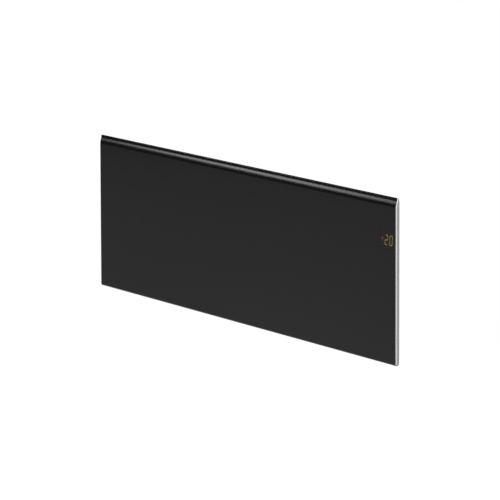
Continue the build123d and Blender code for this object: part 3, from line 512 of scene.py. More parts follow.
@dataclass(frozen=True)
class SmokedPane(PowderCoat):
    """Smoked acrylic with the paint's satin front: almost black, and lets lit segments through."""

    alpha: float = 0.9

    def pattern(self, shading: Shading) -> None:
        """Add the paint's pattern to a surface that lets some light through."""
        super().pattern(shading)
        shading.set(alpha=self.alpha)


@dataclass(frozen=True)
class Bleed:
    """Light that strays inside the display's block: a soft oval patch of one colour."""

    centre: Triple
    reach: Triple
    colour: Triple

    def glow(self, shading: Shading) -> Socket:
        """Give the patch's light.

        Args:
            shading: the material that it is wired in.

        Returns:
            Its colour, which fades to black at its reach.
        """
        stretch = tuple(1 / reach for reach in self.reach)
        place = shading.stretched(stretch, tuple(-c * s for c, s in zip(self.centre, stretch)))
        ball = shading.node("ShaderNodeTexGradient", vector=place)
        ball.gradient_type = "SPHERICAL"
        return shading.tint(ball.outputs["Fac"], ALL, (0.0, 0.0, 0.0), self.colour)


@dataclass(frozen=True)
class HazyBlock(MouldedPlastic):
    """The display's dark block, in which a little of the segments' light strays."""

    bleeds: tuple[Bleed, ...] = ()

    def pattern(self, shading: Shading) -> None:
        """Add the plastic's pattern and the strayed light.

        Args:
            shading: the material that is wired.
        """
        super().pattern(shading)
        total, *others = (bleed.glow(shading) for bleed in self.bleeds)
        for other in others:
            both = shading.node("ShaderNodeMixRGB", fac=1.0, color1=total, color2=other)
            both.blend_type = "ADD"
            total = both.outputs["Color"]
        shading.set(emission_color=total, emission_strength=1.0)


@dataclass(frozen=True)
class LitSegment(Finish):
    """A lit segment or lamp: a glowing resin that is a little uneven."""

    glow: float = 1.0
    resin: Triple = (0.02, 0.02, 0.02)
    patch: float = 1.5 * MM
    tone = (-0.15, 0.1)

    def pattern(self, shading: Shading) -> None:
        """Add an uneven glow."""
        shading.set(emission_color=self.toned(shading, shading.noise(self.patch)),
                    emission_strength=self.glow, base_color=self.resin)


FINISHES: dict[str, Finish] = {
    "black_powder_coat": PowderCoat((0.004, 0.004, 0.004), roughness=0.22, specular=0.2),
    "casing_powder_coat": PowderCoat((0.02, 0.02, 0.021), roughness=0.45, specular=0.3),
    "bracket_powder_coat": PowderCoat((0.035, 0.035, 0.037), roughness=0.5, specular=0.3),
    "brushed_aluminium": BrushedMetal((0.62, 0.62, 0.61), roughness=0.34),
    "extruded_aluminium": BrushedMetal((0.66, 0.66, 0.67), roughness=0.38, along=X_AXIS),
    "smoked_window": SmokedPane((0.0045, 0.0045, 0.0045), roughness=0.22, specular=0.225),
    "display_block": HazyBlock((0.006, 0.006, 0.006), roughness=0.3, specular=0.2, bleeds=(
        Bleed((0.662, -0.083, 0.089), (0.026, 0.02, 0.026), (0.12, 0.06, 0.004)),
        Bleed((0.636, -0.083, 0.086), (0.016, 0.02, 0.024), (0.16, 0.012, 0.01)),
    )),
    "galvanised_sheet": GalvanisedSheet((0.56, 0.57, 0.58), roughness=0.42),
    "zinc_plated_steel": PlatedMetal((0.62, 0.62, 0.6), roughness=0.3),
    "spring_steel": PlatedMetal((0.42, 0.42, 0.44), roughness=0.28, cast=(0.0, 0.0, 0.02)),
    "element_sheath": HeatTintedSteel((0.42, 0.41, 0.4), roughness=0.35),
    "plated_tabs": PlatedMetal((0.72, 0.72, 0.71), roughness=0.22, cast=(0.0, 0.0, -0.02)),
    "ceramic": UnglazedCeramic((0.78, 0.76, 0.7), roughness=0.75),
    "cutout_case": MouldedPlastic((0.05, 0.03, 0.02), roughness=0.4),
    "black_plastic": MouldedPlastic((0.014, 0.014, 0.015), roughness=0.48),
    "rocker_plastic": MouldedPlastic((0.012, 0.012, 0.012), roughness=0.3, grain_depth=0.003 * MM),
    "key_plastic": MouldedPlastic((0.03, 0.03, 0.032), roughness=0.4),
    "circuit_board": BoardMask((0.012, 0.085, 0.038), roughness=0.3),
    "masked_track": BoardMask((0.02, 0.15, 0.06), roughness=0.3),
    "relay_case": MouldedPlastic((0.02, 0.07, 0.3), roughness=0.32),
    "small_switches": MouldedPlastic((0.03, 0.03, 0.03), roughness=0.4),
    "white_nylon": MouldedPlastic((0.72, 0.72, 0.68), roughness=0.45),
    "brass": PlatedMetal((0.7, 0.5, 0.2), roughness=0.3, cast=(0.02, 0.03, 0.02)),
    "grommet_rubber": Sleeving((0.02, 0.02, 0.02), roughness=0.65),
    "brown_lead": Sleeving((0.12, 0.045, 0.018), roughness=0.5),
    "blue_lead": Sleeving((0.02, 0.08, 0.3), roughness=0.5),
    "earth_lead": Sleeving((0.08, 0.3, 0.03), roughness=0.5, second=(0.75, 0.65, 0.04)),
    "amber_segment": LitSegment((1.0, 0.7, 0.2), roughness=0.4, glow=2.25),
    "red_lamp": LitSegment((1.0, 0.1, 0.08), roughness=0.4, glow=2.0),
    "unlit_segment": MouldedPlastic((0.012, 0.011, 0.009), roughness=0.35, specular=0.2),
    "gasket_foam": MouldedPlastic((0.004, 0.004, 0.004), roughness=0.8, specular=0.1),
    "white_ink": MouldedPlastic((0.7, 0.7, 0.7), roughness=0.5, grain_depth=0.002 * MM),
    "tinned_lead": PlatedMetal((0.7, 0.7, 0.7), roughness=0.3, cast=(0.0, 0.0, 0.0)),
    "capacitor_sleeve": MouldedPlastic((0.02, 0.025, 0.06), roughness=0.3),
    "chip_resin": MouldedPlastic((0.02, 0.02, 0.02), roughness=0.55),
    "yellow_case": MouldedPlastic((0.72, 0.5, 0.05), roughness=0.35),
}


class Palette:
    """Makes each finish's material once and paints nodes and pieces with it."""

    def __init__(self) -> None:
        """Read each node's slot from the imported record."""
        self.made: dict[str, bpy.types.Material] = {}
        self.slots = {part["node"]: part["material_slot"] for part in frame["record"]["subparts"]}
        self.bare = set(frame["nodes"])

    def paint(self, piece: bpy.types.Object, finish: str) -> None:
        """Leave a piece with one finish, whose material is made on first use.

        Args:
            piece: the piece.
            finish: the finish's name.
        """
        if finish not in self.made:
            self.made[finish] = FINISHES[finish].material(finish)
        piece.data.materials.clear()
        piece.data.materials.append(self.made[finish])

    def dress(self, *nodes: str) -> None:
        """Paint CAD nodes with the finish of their slot.

        Args:
            nodes: the nodes' names.
        """
        for node in nodes:
            self.paint(frame["nodes"][node], self.slots[node])
            self.bare.discard(node)
            LOG.info("dressed %s as %s", node, self.slots[node])


PALETTE = Palette()


@dataclass(frozen=True)
class Bend:
    """A bend in a drawn section: its radius, its turn in degrees and how many edges it has."""

    radius: float
    turn: float
    steps: int


class Pen:
    """Draws a chain of edges in one plane: runs extrude its tip, and arcs spin it."""

    def __init__(self, mesh: Mesh, start: Vector, heading: Vector, axis: Vector) -> None:
        """Put the pen down.

        Args:
            mesh: the mesh drawn in.
            start: the first point.
            heading: unit direction of the first stroke.
            axis: unit normal of the plane; arcs turn about it, left for a positive turn.
        """
        self.mesh = mesh
        self.axis = axis
        self.heading = heading
        self.first = self.tip = mesh.verts.new(start)

    def run(self, length: float) -> "Pen":
        """Draw a straight run.

        Args:
            length: its length.

        Returns:
            The pen.
        """
        made = bmesh.ops.extrude_vert_indiv(self.mesh, verts=[self.tip])
        self.tip = made["verts"][0]
        bmesh.ops.translate(self.mesh, verts=[self.tip], vec=self.heading * length)
        return self

    def arc(self, radius: float, turn: float, steps: int) -> "Pen":
        """Draw an arc.

        Args:
            radius: its radius.
            turn: its turn in degrees, positive to the left.
            steps: how many edges it has.

        Returns:
            The pen.
        """
        side = 1 if turn > 0 else -1
        centre = self.tip.co + self.axis.cross(self.heading) * radius * side
        made = bmesh.ops.spin(self.mesh, geom=[self.tip], cent=centre, axis=self.axis, angle=radians(turn),
                              steps=steps, use_merge=False)
        self.tip = next(item for item in made["geom_last"] if isinstance(item, Vertex))
        self.heading = Matrix.Rotation(radians(turn), 3, self.axis) @ self.heading
        return self

    def towards(self, heading: Vector) -> "Pen":
        """Turn on the spot."""
        self.heading = heading
        return self

    def left(self, bend: Bend) -> "Pen":
        """Draw a bend to the left."""
        return self.arc(bend.radius, bend.turn, bend.steps)

    def right(self, bend: Bend) -> "Pen":
        """Draw a bend to the right."""
        return self.arc(bend.radius, -bend.turn, bend.steps)


def facing_room(x: float, y: float, z: float) -> Matrix:
    """Give a place whose Z points into the room and whose Y points up."""
    return Matrix.Translation((x, y, z)) @ Matrix.Rotation(pi / 2, 4, "X")


def facing_wall(x: float, y: float, z: float) -> Matrix:
    """Give a place whose Z points to the wall and whose Y points down."""
    return Matrix.Translation((x, y, z)) @ Matrix.Rotation(-pi / 2, 4, "X")


def connected(start: Vertex) -> list[Vertex]:
    """Give every vertex that edges join to a first one.

    Args:
        start: the first vertex.

    Returns:
        The vertices, in the order in which they are reached.
    """
    found, seen = [start], {start}
    for vert in found:
        for edge in vert.link_edges:
            other = edge.other_vert(vert)
            if other not in seen:
                seen.add(other)
                found.append(other)
    return found


def edges_of(verts: Iterable[Vertex]) -> list[bmesh.types.BMEdge]:
    """Give each edge of some vertices once."""
    return list(dict.fromkeys(edge for vert in verts for edge in vert.link_edges))


def extruded(mesh: Mesh, geom: Iterable[bmesh.types.BMFace | bmesh.types.BMEdge],
             along: Vector) -> list[Vertex]:
    """Extrude faces or edges.

    Args:
        mesh: the mesh.
        geom: what is extruded.
        along: how far and where.

    Returns:
        The new vertices.
    """
    made = bmesh.ops.extrude_face_region(mesh, geom=list(geom))
    moved = [item for item in made["geom"] if isinstance(item, Vertex)]
    bmesh.ops.translate(mesh, verts=moved, vec=along)
    return moved


def add_slab(mesh: Mesh, width: float, height: float, thickness: float, corner: float,
             place: Matrix) -> None:
    """Add a slab with rounded corners.

    Args:
        mesh: the mesh added to.
        width: size along its own X.
        height: size along its own Y.
        thickness: size along its own Z, from 0 up.
        corner: radius of its corners.
        place: where it goes.
    """
    verts = bmesh.ops.create_cube(mesh, size=1.0)["verts"]
    bmesh.ops.scale(mesh, vec=(width, height, thickness), verts=verts)
    bmesh.ops.translate(mesh, vec=(0, 0, thickness / 2), verts=verts)
    upright = [edge for edge in edges_of(verts) if edge.verts[0].co.xy == edge.verts[1].co.xy]
    bmesh.ops.transform(mesh, matrix=place, verts=verts)
    bmesh.ops.bevel(mesh, geom=upright, offset=corner, segments=CORNER_STEPS, profile=0.5, affect="EDGES",
                    material=-1)


def add_ring(mesh: Mesh, outer: float, inner: float, thickness: float, place: Matrix,
             sides: int = 40) -> None:
    """Add a flat ring.

    Args:
        mesh: the mesh added to.
        outer: its outer radius.
        inner: its inner radius.
        thickness: size along its own Z, from 0 up.
        place: where it goes.
        sides: how many sides it has.
    """
    pen = Pen(mesh, Vector((inner, 0, 0)), X_AXIS, Y_AXIS)
    pen.run(outer - inner).towards(Z_AXIS).run(thickness).towards(-X_AXIS).run(outer - inner)
    mesh.edges.new((pen.tip, pen.first))
    spin_round(mesh, pen.first, sides)
    bmesh.ops.transform(mesh, matrix=place, verts=connected(pen.first))


def spin_round(mesh: Mesh, first: Vertex, sides: int) -> None:
    """Spin a chain a full turn round the Z axis.

    Args:
        mesh: the mesh.
        first: one of the chain's vertices.
        sides: how many sides the shape has.
    """
    chain = connected(first)
    bmesh.ops.spin(mesh, geom=[*chain, *edges_of(chain)], cent=(0, 0, 0), axis=Z_AXIS, angle=2 * pi,
                   steps=sides, use_merge=True)


def soften(mesh: Mesh) -> None:
    """Turn faces outwards and shade them smooth, apart from the sharp edges.

    Args:
        mesh: the mesh.
    """
    bmesh.ops.recalc_face_normals(mesh, faces=mesh.faces)
    for face in mesh.faces:
        face.smooth = True
    for edge in mesh.edges:
        edge.smooth = len(edge.link_faces) == 2 and edge.calc_face_angle(pi) < SHARP_FROM


def object_from(mesh: Mesh, name: str) -> bpy.types.Object:
    """Put a finished mesh in the scene.

    Args:
        mesh: the mesh, which is freed.
        name: the object's name.

    Returns:
        The object.
    """
    data = bpy.data.meshes.new(name)
    mesh.to_mesh(data)
    mesh.free()
    made = bpy.data.objects.new(name, data)
    bpy.context.scene.collection.objects.link(made)
    return made


def piece_from(mesh: Mesh, name: str, finish: str, body: str = HEATER) -> bpy.types.Object:
    """Turn a finished mesh into a painted piece that rides on a body.

    Args:
        mesh: the mesh, which is freed.
        name: the piece's name.
        finish: the finish it is painted with.
        body: the body it rides on.

    Returns:
        The piece.
    """
    soften(mesh)
    piece = object_from(mesh, name)
    PALETTE.paint(piece, finish)
    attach(piece, body)
    LOG.info("built %s in %s, %d faces", name, finish, len(piece.data.polygons))
    return piece


def cut_out(piece: bpy.types.Object, tool: Mesh) -> None:
    """Cut a tool's shape out of a piece.

    Args:
        piece: the piece.
        tool: the shape cut out, which is freed.
    """
    cutter = object_from(tool, "tool")
    opening = piece.modifiers.new("opening", "BOOLEAN")
    opening.operation = "DIFFERENCE"
    opening.solver = "EXACT"
    opening.object = cutter
    shaped = bpy.data.meshes.new_from_object(piece.evaluated_get(bpy.context.evaluated_depsgraph_get()))
    piece.modifiers.clear()
    piece.data = shaped
    bpy.data.objects.remove(cutter)
    again = bmesh.new()
    again.from_mesh(shaped)
    soften(again)
    again.to_mesh(shaped)
    again.free()


@dataclass
class SubAssembly:
    """A group of CAD nodes with the pieces that the looks add to them."""

    nodes: tuple[str, ...] = ()

    def build(self) -> None:
        """Dress the nodes and add the pieces."""
        PALETTE.dress(*self.nodes)
        self.add_pieces()

    def add_pieces(self) -> None:
        """Add nothing: the CAD nodes are all of it."""


@dataclass
class FrontPanel(SubAssembly):
    """The steel front: flat face, rolled top, tucked-in foot, and an opening for the display."""

    nodes: tuple[str, ...] = ("front_panel",)
    finish: str = "black_powder_coat"
    skin: float = 0.8 * MM
    roll_height: float = 22.5 * MM
    shoulder: Bend = Bend(40 * MM, 20.0, 12)
    hollow: Bend = Bend(18 * MM, 17.0, 8)
    lip: Bend = Bend(2.2 * MM, 142.0, 24)
    tail_turn: float = 35.0
    tail_steps: int = 8
    lip_height: float = 10 * MM
    bottom: Bend = Bend(4.5 * MM, 90.0, 12)
    heel: Bend = Bend(1.2 * MM, 82.0, 6)
    heel_height: float = 13 * MM
    window_rim: float = 2 * MM
    window_corner: float = 3 * MM

    def __post_init__(self) -> None:
        """Take the overall sizes from the frame."""
        self.low, self.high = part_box("front_panel")

    def section(self, mesh: Mesh) -> None:
        """Draw the skin's outer line, from the face over the roll to the back lip, and to the foot's lip.

        Args:
            mesh: the mesh drawn in.
        """
        roll_z = self.high.z - self.roll_height
        lean = radians(self.shoulder.turn - self.hollow.turn)
        heel_lean = radians(90 - self.heel.turn)
        heel_foot_z = self.low.z + self.heel.radius * (1 - sin(heel_lean))
        heel_top_z = self.low.z + self.heel_height
        heel_foot_y = self.high.y - (heel_top_z - heel_foot_z) * tan(heel_lean)
        foot_run = heel_foot_y - self.heel.radius * cos(heel_lean) - self.low.y - self.bottom.radius
        pen = Pen(mesh, Vector((self.low.x, self.low.y, roll_z)), Z_AXIS, X_AXIS)
        pen.right(self.shoulder).left(self.hollow)
        pen.run((self.high.z - pen.tip.co.z - self.lip.radius * (1 - sin(lean))) / cos(lean)).right(self.lip)
        tail_radius = (self.high.y - pen.tip.co.y) / (1 - cos(radians(self.tail_turn)))
        pen.arc(tail_radius, -self.tail_turn, self.tail_steps)
        pen.run(pen.tip.co.z - (roll_z + self.lip_height / 2))
        pen.tip = pen.first
        pen.towards(-Z_AXIS).run(roll_z - self.low.z - self.bottom.radius).left(self.bottom)
        pen.run(foot_run).left(self.heel).run((heel_top_z - heel_foot_z) / cos(heel_lean))
        pen.towards(Z_AXIS).run(self.lip_height - self.skin)

    def opening(self) -> Mesh:
        """Give the shape that is cut out for the display's window.

        Returns:
            A slab through the face, smaller than the window by its rim.
        """
        low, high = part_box("display_window")
        centre = (low + high) / 2
        size = high - low
        tool = bmesh.new()
        place = facing_room(centre.x, self.low.y + 2 * self.skin, centre.z)
        add_slab(tool, size.x - 2 * self.window_rim, size.z - 2 * self.window_rim, 4 * self.skin,
                 self.window_corner, place)
        return tool

    def add_pieces(self) -> None:
        """Build the skin, cut its window and let it stand for the CAD panel."""
        mesh = bmesh.new()
        self.section(mesh)
        extruded(mesh, mesh.edges, X_AXIS * (self.high.x - self.low.x))
        bmesh.ops.recalc_face_normals(mesh, faces=mesh.faces)
        face = max(mesh.faces, key=lambda f: f.calc_area())
        if face.normal.y > 0:
            bmesh.ops.reverse_faces(mesh, faces=mesh.faces)
        bmesh.ops.solidify(mesh, geom=mesh.faces, thickness=self.skin)
        skin = piece_from(mesh, "panel_skin", self.finish)
        cut_out(skin, self.opening())
        PALETTE.paint(skin, self.finish)
        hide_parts("front_panel")


@dataclass
class EndStrips(SubAssembly):
    """The two bare aluminium strips that close the shell's ends."""

    nodes: tuple[str, ...] = ("end_strip_left", "end_strip_right")


class Segment(Enum):
    """A digit's segments: place in half widths and half heights, and whether it stands upright."""

    TOP = (0, 1, False)
    MIDDLE = (0, 0, False)
    BOTTOM = (0, -1, False)
    UPPER_LEFT = (-1, 0.5, True)
    UPPER_RIGHT = (1, 0.5, True)
    LOWER_LEFT = (-1, -0.5, True)
    LOWER_RIGHT = (1, -0.5, True)


TWO = (Segment.TOP, Segment.UPPER_RIGHT, Segment.MIDDLE, Segment.LOWER_LEFT, Segment.BOTTOM)
ZERO = tuple(segment for segment in Segment if segment is not Segment.MIDDLE)


@dataclass
class Display(SubAssembly):
    """Two lit digits and a status lamp behind the smoked window."""

    nodes: tuple[str, ...] = ("display_window", "display_module", "window_gasket")
    digit_width: float = 10.5 * MM
    digit_height: float = 21 * MM
    stroke: float = 1.9 * MM
    gap: float = 0.35 * MM
    slant: float = 6.0
    relief: float = 0.12 * MM
    tens_x: float = 653.0 * MM
    units_x: float = 672.6 * MM
    digit_z: float = 89.0 * MM
    lamp_x: float = 635.7 * MM
    lamp_z: float = 91.0 * MM
    lamp_width: float = 4.6 * MM
    lamp_height: float = 7.0 * MM
    lamp_corner: float = 2.07 * MM

    def __post_init__(self) -> None:
        """Take the face that carries the segments from the frame."""
        self.face_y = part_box("display_module")[0].y

    def add_segment(self, mesh: Mesh, segment: Segment, centre_x: float) -> None:
        """Add one six-sided segment.

        Args:
            mesh: the mesh added to.
            segment: which segment.
            centre_x: middle of the digit.
        """
        across, up, upright = segment.value
        length = (self.digit_height / 2 if upright else self.digit_width) - 2 * self.gap
        point = self.stroke / sqrt(3)
        made = bmesh.ops.create_circle(mesh, cap_ends=True, segments=6, radius=point,
                                       matrix=Matrix.Rotation(pi / 2, 4, "Z"))
        for side in (-1, 1):
            half = [vert for vert in made["verts"] if vert.co.x * side > 0]
            bmesh.ops.translate(mesh, verts=half, vec=(side * (length / 2 - point), 0, 0))
        raised = extruded(mesh, made["verts"][0].link_faces, Z_AXIS * self.relief)
        lean = Matrix.Identity(4)
        lean[0][1] = tan(radians(self.slant))
        shift = Matrix.Translation((across * self.digit_width / 2, up * self.digit_height / 2, 0))
        turn = Matrix.Rotation(pi / 2 if upright else 0, 4, "Z")
        place = facing_room(centre_x, self.face_y, self.digit_z) @ lean @ shift @ turn
        bmesh.ops.transform(mesh, matrix=place, verts=connected(raised[0]))

    def digit(self, name: str, centre_x: float, segments: Iterable[Segment], finish: str) -> None:
        """Build one digit's lit or unlit segments.

        Args:
            name: the piece's name.
            centre_x: middle of the digit.
            segments: the segments that it has.
            finish: finish of its segments.
        """
        mesh = bmesh.new()
        for segment in segments:
            self.add_segment(mesh, segment, centre_x)
        piece_from(mesh, name, finish)

    def lamp(self) -> None:
        """Build the status lamp."""
        mesh = bmesh.new()
        place = facing_room(self.lamp_x, self.face_y, self.lamp_z)
        add_slab(mesh, self.lamp_width, self.lamp_height, self.relief, self.lamp_corner, place)
        piece_from(mesh, "status_lamp", "red_lamp")

    def add_pieces(self) -> None:
        """Add the digits' lit and unlit segments, and the lamp."""
        digits = (("tens", self.tens_x, TWO), ("units", self.units_x, ZERO))
        for name, centre_x, lit in digits:
            self.digit("digit_" + name, centre_x, lit, "amber_segment")
        for name, centre_x, lit in digits:
            dark = [segment for segment in Segment if segment not in lit]
            self.digit("unlit_" + name, centre_x, dark, "unlit_segment")
        self.lamp()


@dataclass
class RearCasing(SubAssembly):
    """The casing behind the front, with its rivets and the heat shield."""

    nodes: tuple[str, ...] = ("heat_shield", "back_plate", "top_grille", "bottom_grille", "side_plate_left",
                              "side_plate_right", "casing_rivets", "shield_rivets")


@dataclass
class HeatingElement(SubAssembly):
    """The finned element on its bushes and brackets, and the overheat cut-out above it."""

    nodes: tuple[str, ...] = ("element_fins", "element_rod", "element_terminals", "element_bushes",
                              "element_bracket_left", "element_bracket_right", "cutout_bracket",
                              "thermal_cutout")


@dataclass
class SupplyWiring(SubAssembly):
    """Terminals, internal leads, their clips and the grommet."""

    nodes: tuple[str, ...] = ("terminal_block", "terminal_screws", "earth_terminal", "live_leads",
                              "neutral_lead", "earth_lead", "lead_clips", "lead_grommet")


@dataclass(frozen=True, kw_only=True)
class BoardPart:
    """A small part on the rear face of the thermostat's board."""

    x: float = 0.0
    z: float = 0.0

    def place(self, across: float = 0.0, up: float = 0.0, lift: float = 0.0) -> Matrix:
        """Give a place by the part's own, whose Z points away from the board and whose Y points down."""
        return facing_wall(self.x + across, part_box("control_board")[1].y + lift, self.z + up)

    def build(self) -> None:
        """Build the part."""
        raise NotImplementedError


@dataclass(frozen=True)
class Track:
    """Straight parallel tracks: ends of the first and the step to the next, in X and Z millimetres."""

    start: Span
    end: Span
    step: Span
    count: int
    width: float = 0.7 * MM


@dataclass(frozen=True)
class TrackWork(BoardPart):
    """The board's tracks, which stand a little proud of it."""

    tracks: tuple[Track, ...] = (
        Track((618.0, 94.5), (618.0, 107.0), (6.0, 0.0), 3, 2 * MM),
        Track((641.5, 104.0), (641.5, 137.0), (-2.0, 0.0), 5),
        Track((659.0, 95.0), (677.0, 95.0), (0.0, 1.9), 5),
        Track((658.0, 64.0), (658.0, 91.0), (3.0, 0.0), 2),
        Track((634.0, 69.5), (655.0, 69.5), (0.0, -2.0), 3, 1.2 * MM),
        Track((668.0, 104.0), (668.0, 140.0), (2.2, 0.0), 4),
        Track((608.0, 102.0), (632.0, 102.0), (0.0, 1.9), 2),
    )
    proud: float = 0.05 * MM
    rounding: float = 0.4

    def build(self) -> None:
        """Lay every track, with rounded ends."""
        mesh = bmesh.new()
        for track in self.tracks:
            first, last, step = (Vector(pair) * MM for pair in (track.start, track.end, track.step))
            length = (last - first).length + track.width
            width, height = (track.width, length) if first.x == last.x else (length, track.width)
            for number in range(track.count):
                middle = (first + last) / 2 + step * number
                add_slab(mesh, width, height, self.proud, track.width * self.rounding, self.place(*middle))
        piece_from(mesh, "board_tracks", "masked_track")


@dataclass(frozen=True)
class Can(BoardPart):
    """A round capacitor that stands on the board."""

    name: str
    radius: float
    length: float
    foot: Bend = Bend(0.6 * MM, 90.0, 3)
    crimp: Bend = Bend(0.5 * MM, 60.0, 2)
    rim: Bend = Bend(0.6 * MM, 90.0, 4)
    crimp_height: float = 0.12
    lid_gap: float = 0.9 * MM
    lid: float = 0.24 * MM
    vent: float = 0.3 * MM
    vent_hole: float = 0.2
    vent_width: float = 0.3
    vent_corner: float = 0.1
    sides: int = 28

    def build(self) -> None:
        """Build the sleeve, with its crimp and rolled rim, and the bare vented top in it."""
        sleeve, top = bmesh.new(), bmesh.new()
        pen = Pen(sleeve, Vector(), X_AXIS, -Y_AXIS)
        pen.run(self.radius - self.foot.radius).left(self.foot).run(self.length * self.crimp_height)
        pen.left(self.crimp).right(self.crimp).right(self.crimp).left(self.crimp)
        pen.run(self.length - self.rim.radius - pen.tip.co.z).left(self.rim).run(self.rim.radius)
        spin_round(sleeve, pen.first, self.sides)
        bmesh.ops.remove_doubles(sleeve, verts=sleeve.verts, dist=TOUCHING)
        bmesh.ops.dissolve_degenerate(sleeve, edges=sleeve.edges, dist=TOUCHING)
        bmesh.ops.transform(sleeve, matrix=self.place(), verts=sleeve.verts)
        piece_from(sleeve, self.name, "capacitor_sleeve")
        lid = self.place(lift=self.length - self.rim.radius)
        add_ring(top, self.radius - self.lid_gap, self.radius * self.vent_hole, self.lid, lid, self.sides)
        add_slab(top, self.radius, self.radius * self.vent_width, self.vent, self.radius * self.vent_corner,
                 lid)
        piece_from(top, self.name + "_top", "tinned_lead")


@dataclass(frozen=True)
class Chip(BoardPart):
    """A flat chip with two rows of bent legs."""

    length: float = 11.5 * MM
    width: float = 7.5 * MM
    height: float = 2.4 * MM
    corner: float = 0.4 * MM
    lift: float = 0.1 * MM
    leg_count: int = 8
    leg_pitch: float = 1.27 * MM
    leg_width: float = 0.45 * MM
    leg_sheet: float = 0.2 * MM
    shoulder: float = 0.25 * MM
    knee: Bend = Bend(0.25 * MM, 80.0, 3)
    shin: float = 0.7 * MM
    ankle: Bend = Bend(0.2 * MM, 80.0, 3)
    foot: float = 0.6 * MM

    def add_leg(self, mesh: Mesh, number: int, side: int) -> None:
        """Add one leg.

        Args:
            mesh: the mesh added to.
            number: its place in the row, from 0.
            side: -1 for the upper row, 1 for the lower.
        """
        x = (number - (self.leg_count - 1) / 2) * self.leg_pitch - self.leg_width / 2
        start = Vector((x, side * self.width / 2, self.height / 2))
        pen = Pen(mesh, start, Y_AXIS * side, -X_AXIS * side)
        pen.run(self.shoulder).left(self.knee).run(self.shin).right(self.ankle).run(self.foot)
        extruded(mesh, edges_of(connected(pen.first)), X_AXIS * self.leg_width)

    def build(self) -> None:
        """Build the body and both rows of legs."""
        body, legs = bmesh.new(), bmesh.new()
        add_slab(body, self.length, self.width, self.height, self.corner, self.place(lift=self.lift))
        piece_from(body, "control_chip", "chip_resin")
        for side in (-1, 1):
            for number in range(self.leg_count):
                self.add_leg(legs, number, side)
        bmesh.ops.transform(legs, matrix=self.place(), verts=legs.verts)
        bmesh.ops.recalc_face_normals(legs, faces=legs.faces)
        bmesh.ops.solidify(legs, geom=legs.faces, thickness=self.leg_sheet)
        piece_from(legs, "chip_legs", "tinned_lead")


@dataclass(frozen=True)
class ResistorColumn(BoardPart):
    """A column of chip resistors with plated ends, which starts at its place."""

    pitch: float = 3.4 * MM
    count: int = 5
    length: float = 3.2 * MM
    width: float = 1.6 * MM
    height: float = 0.6 * MM
    corner: float = 0.1 * MM
    end_length: float = 0.6 * MM
    end_proud: float = 0.05 * MM

    def build(self) -> None:
        """Build the resistors."""
        bodies, ends = bmesh.new(), bmesh.new()
        middle = self.length - 2 * self.end_length
        reach = (self.length - self.end_length) / 2
        for number in range(self.count):
            up = number * self.pitch
            add_slab(bodies, middle, self.width, self.height, self.corner, self.place(0, up))
            for across in (-reach, reach):
                add_slab(ends, self.end_length, self.width, self.height + self.end_proud, self.corner,
                         self.place(across, up))
        piece_from(bodies, "chip_resistors", "chip_resin")
        piece_from(ends, "resistor_ends", "tinned_lead")


@dataclass(frozen=True)
class Suppressor(BoardPart):
    """The box-shaped mains capacitor."""

    length: float = 13 * MM
    width: float = 6 * MM
    height: float = 9 * MM
    corner: float = 0.8 * MM

    def build(self) -> None:
        """Build the case."""
        mesh = bmesh.new()
        add_slab(mesh, self.length, self.width, self.height, self.corner, self.place())
        piece_from(mesh, "suppressor", "yellow_case")


@dataclass
class ThermostatUnit(SubAssembly):
    """The thermostat's housing, its board and what the board carries."""

    nodes: tuple[str, ...] = ("control_housing", "control_board", "board_screws", "board_connector",
                              "power_relay", "tact_switches", "room_sensor", "housing_screws")
    board_parts: tuple[BoardPart, ...] = (
        TrackWork(),
        Can("main_capacitor", 5 * MM, 11 * MM, x=647 * MM, z=121 * MM),
        Can("small_capacitor", 3.2 * MM, 6.5 * MM, x=661 * MM, z=126 * MM),
        Chip(x=650 * MM, z=98 * MM),
        ResistorColumn(x=663 * MM, z=106 * MM),
        Suppressor(x=644.5 * MM, z=79 * MM),
    )

    def add_pieces(self) -> None:
        """Solder the small parts on the board."""
        for part in self.board_parts:
            part.build()


@dataclass
class PushKeys(SubAssembly):
    """The three keys on the thermostat, each with its printed sign."""

    nodes: tuple[str, ...] = ("key_minus", "key_mode", "key_plus")
    bar_length: float = 6 * MM
    bar_width: float = 1.3 * MM
    bar_corner: float = 0.3 * MM
    arm_corner: float = 0.2 * MM
    ring_radius: float = 2.8 * MM
    ink: float = 0.06 * MM

    def sign_place(self, node: str, shift: float = 0.0) -> Matrix:
        """Give the place of a sign on a key's top.

        Args:
            node: the key.
            shift: how far it is shifted along Y.

        Returns:
            A matrix whose Z points up.
        """
        low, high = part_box(node)
        middle = (low + high) / 2
        return Matrix.Translation((middle.x, middle.y + shift, high.z))

    def add_pieces(self) -> None:
        """Print a minus, a ring and a plus on the keys."""
        minus, mode, plus = bmesh.new(), bmesh.new(), bmesh.new()
        for mesh, node in ((minus, "key_minus"), (plus, "key_plus")):
            add_slab(mesh, self.bar_length, self.bar_width, self.ink, self.bar_corner, self.sign_place(node))
        arm = (self.bar_length - self.bar_width) / 2
        for side in (-1, 1):
            place = self.sign_place("key_plus", side * (self.bar_width + arm) / 2)
            add_slab(plus, self.bar_width, arm, self.ink, self.arm_corner, place)
        add_ring(mode, self.ring_radius, self.ring_radius - self.bar_width, self.ink,
                 self.sign_place("key_mode"))
        piece_from(minus, "minus_sign", "white_ink", "key_minus")
        piece_from(mode, "mode_ring", "white_ink", "key_mode")
        piece_from(plus, "plus_sign", "white_ink", "key_plus")


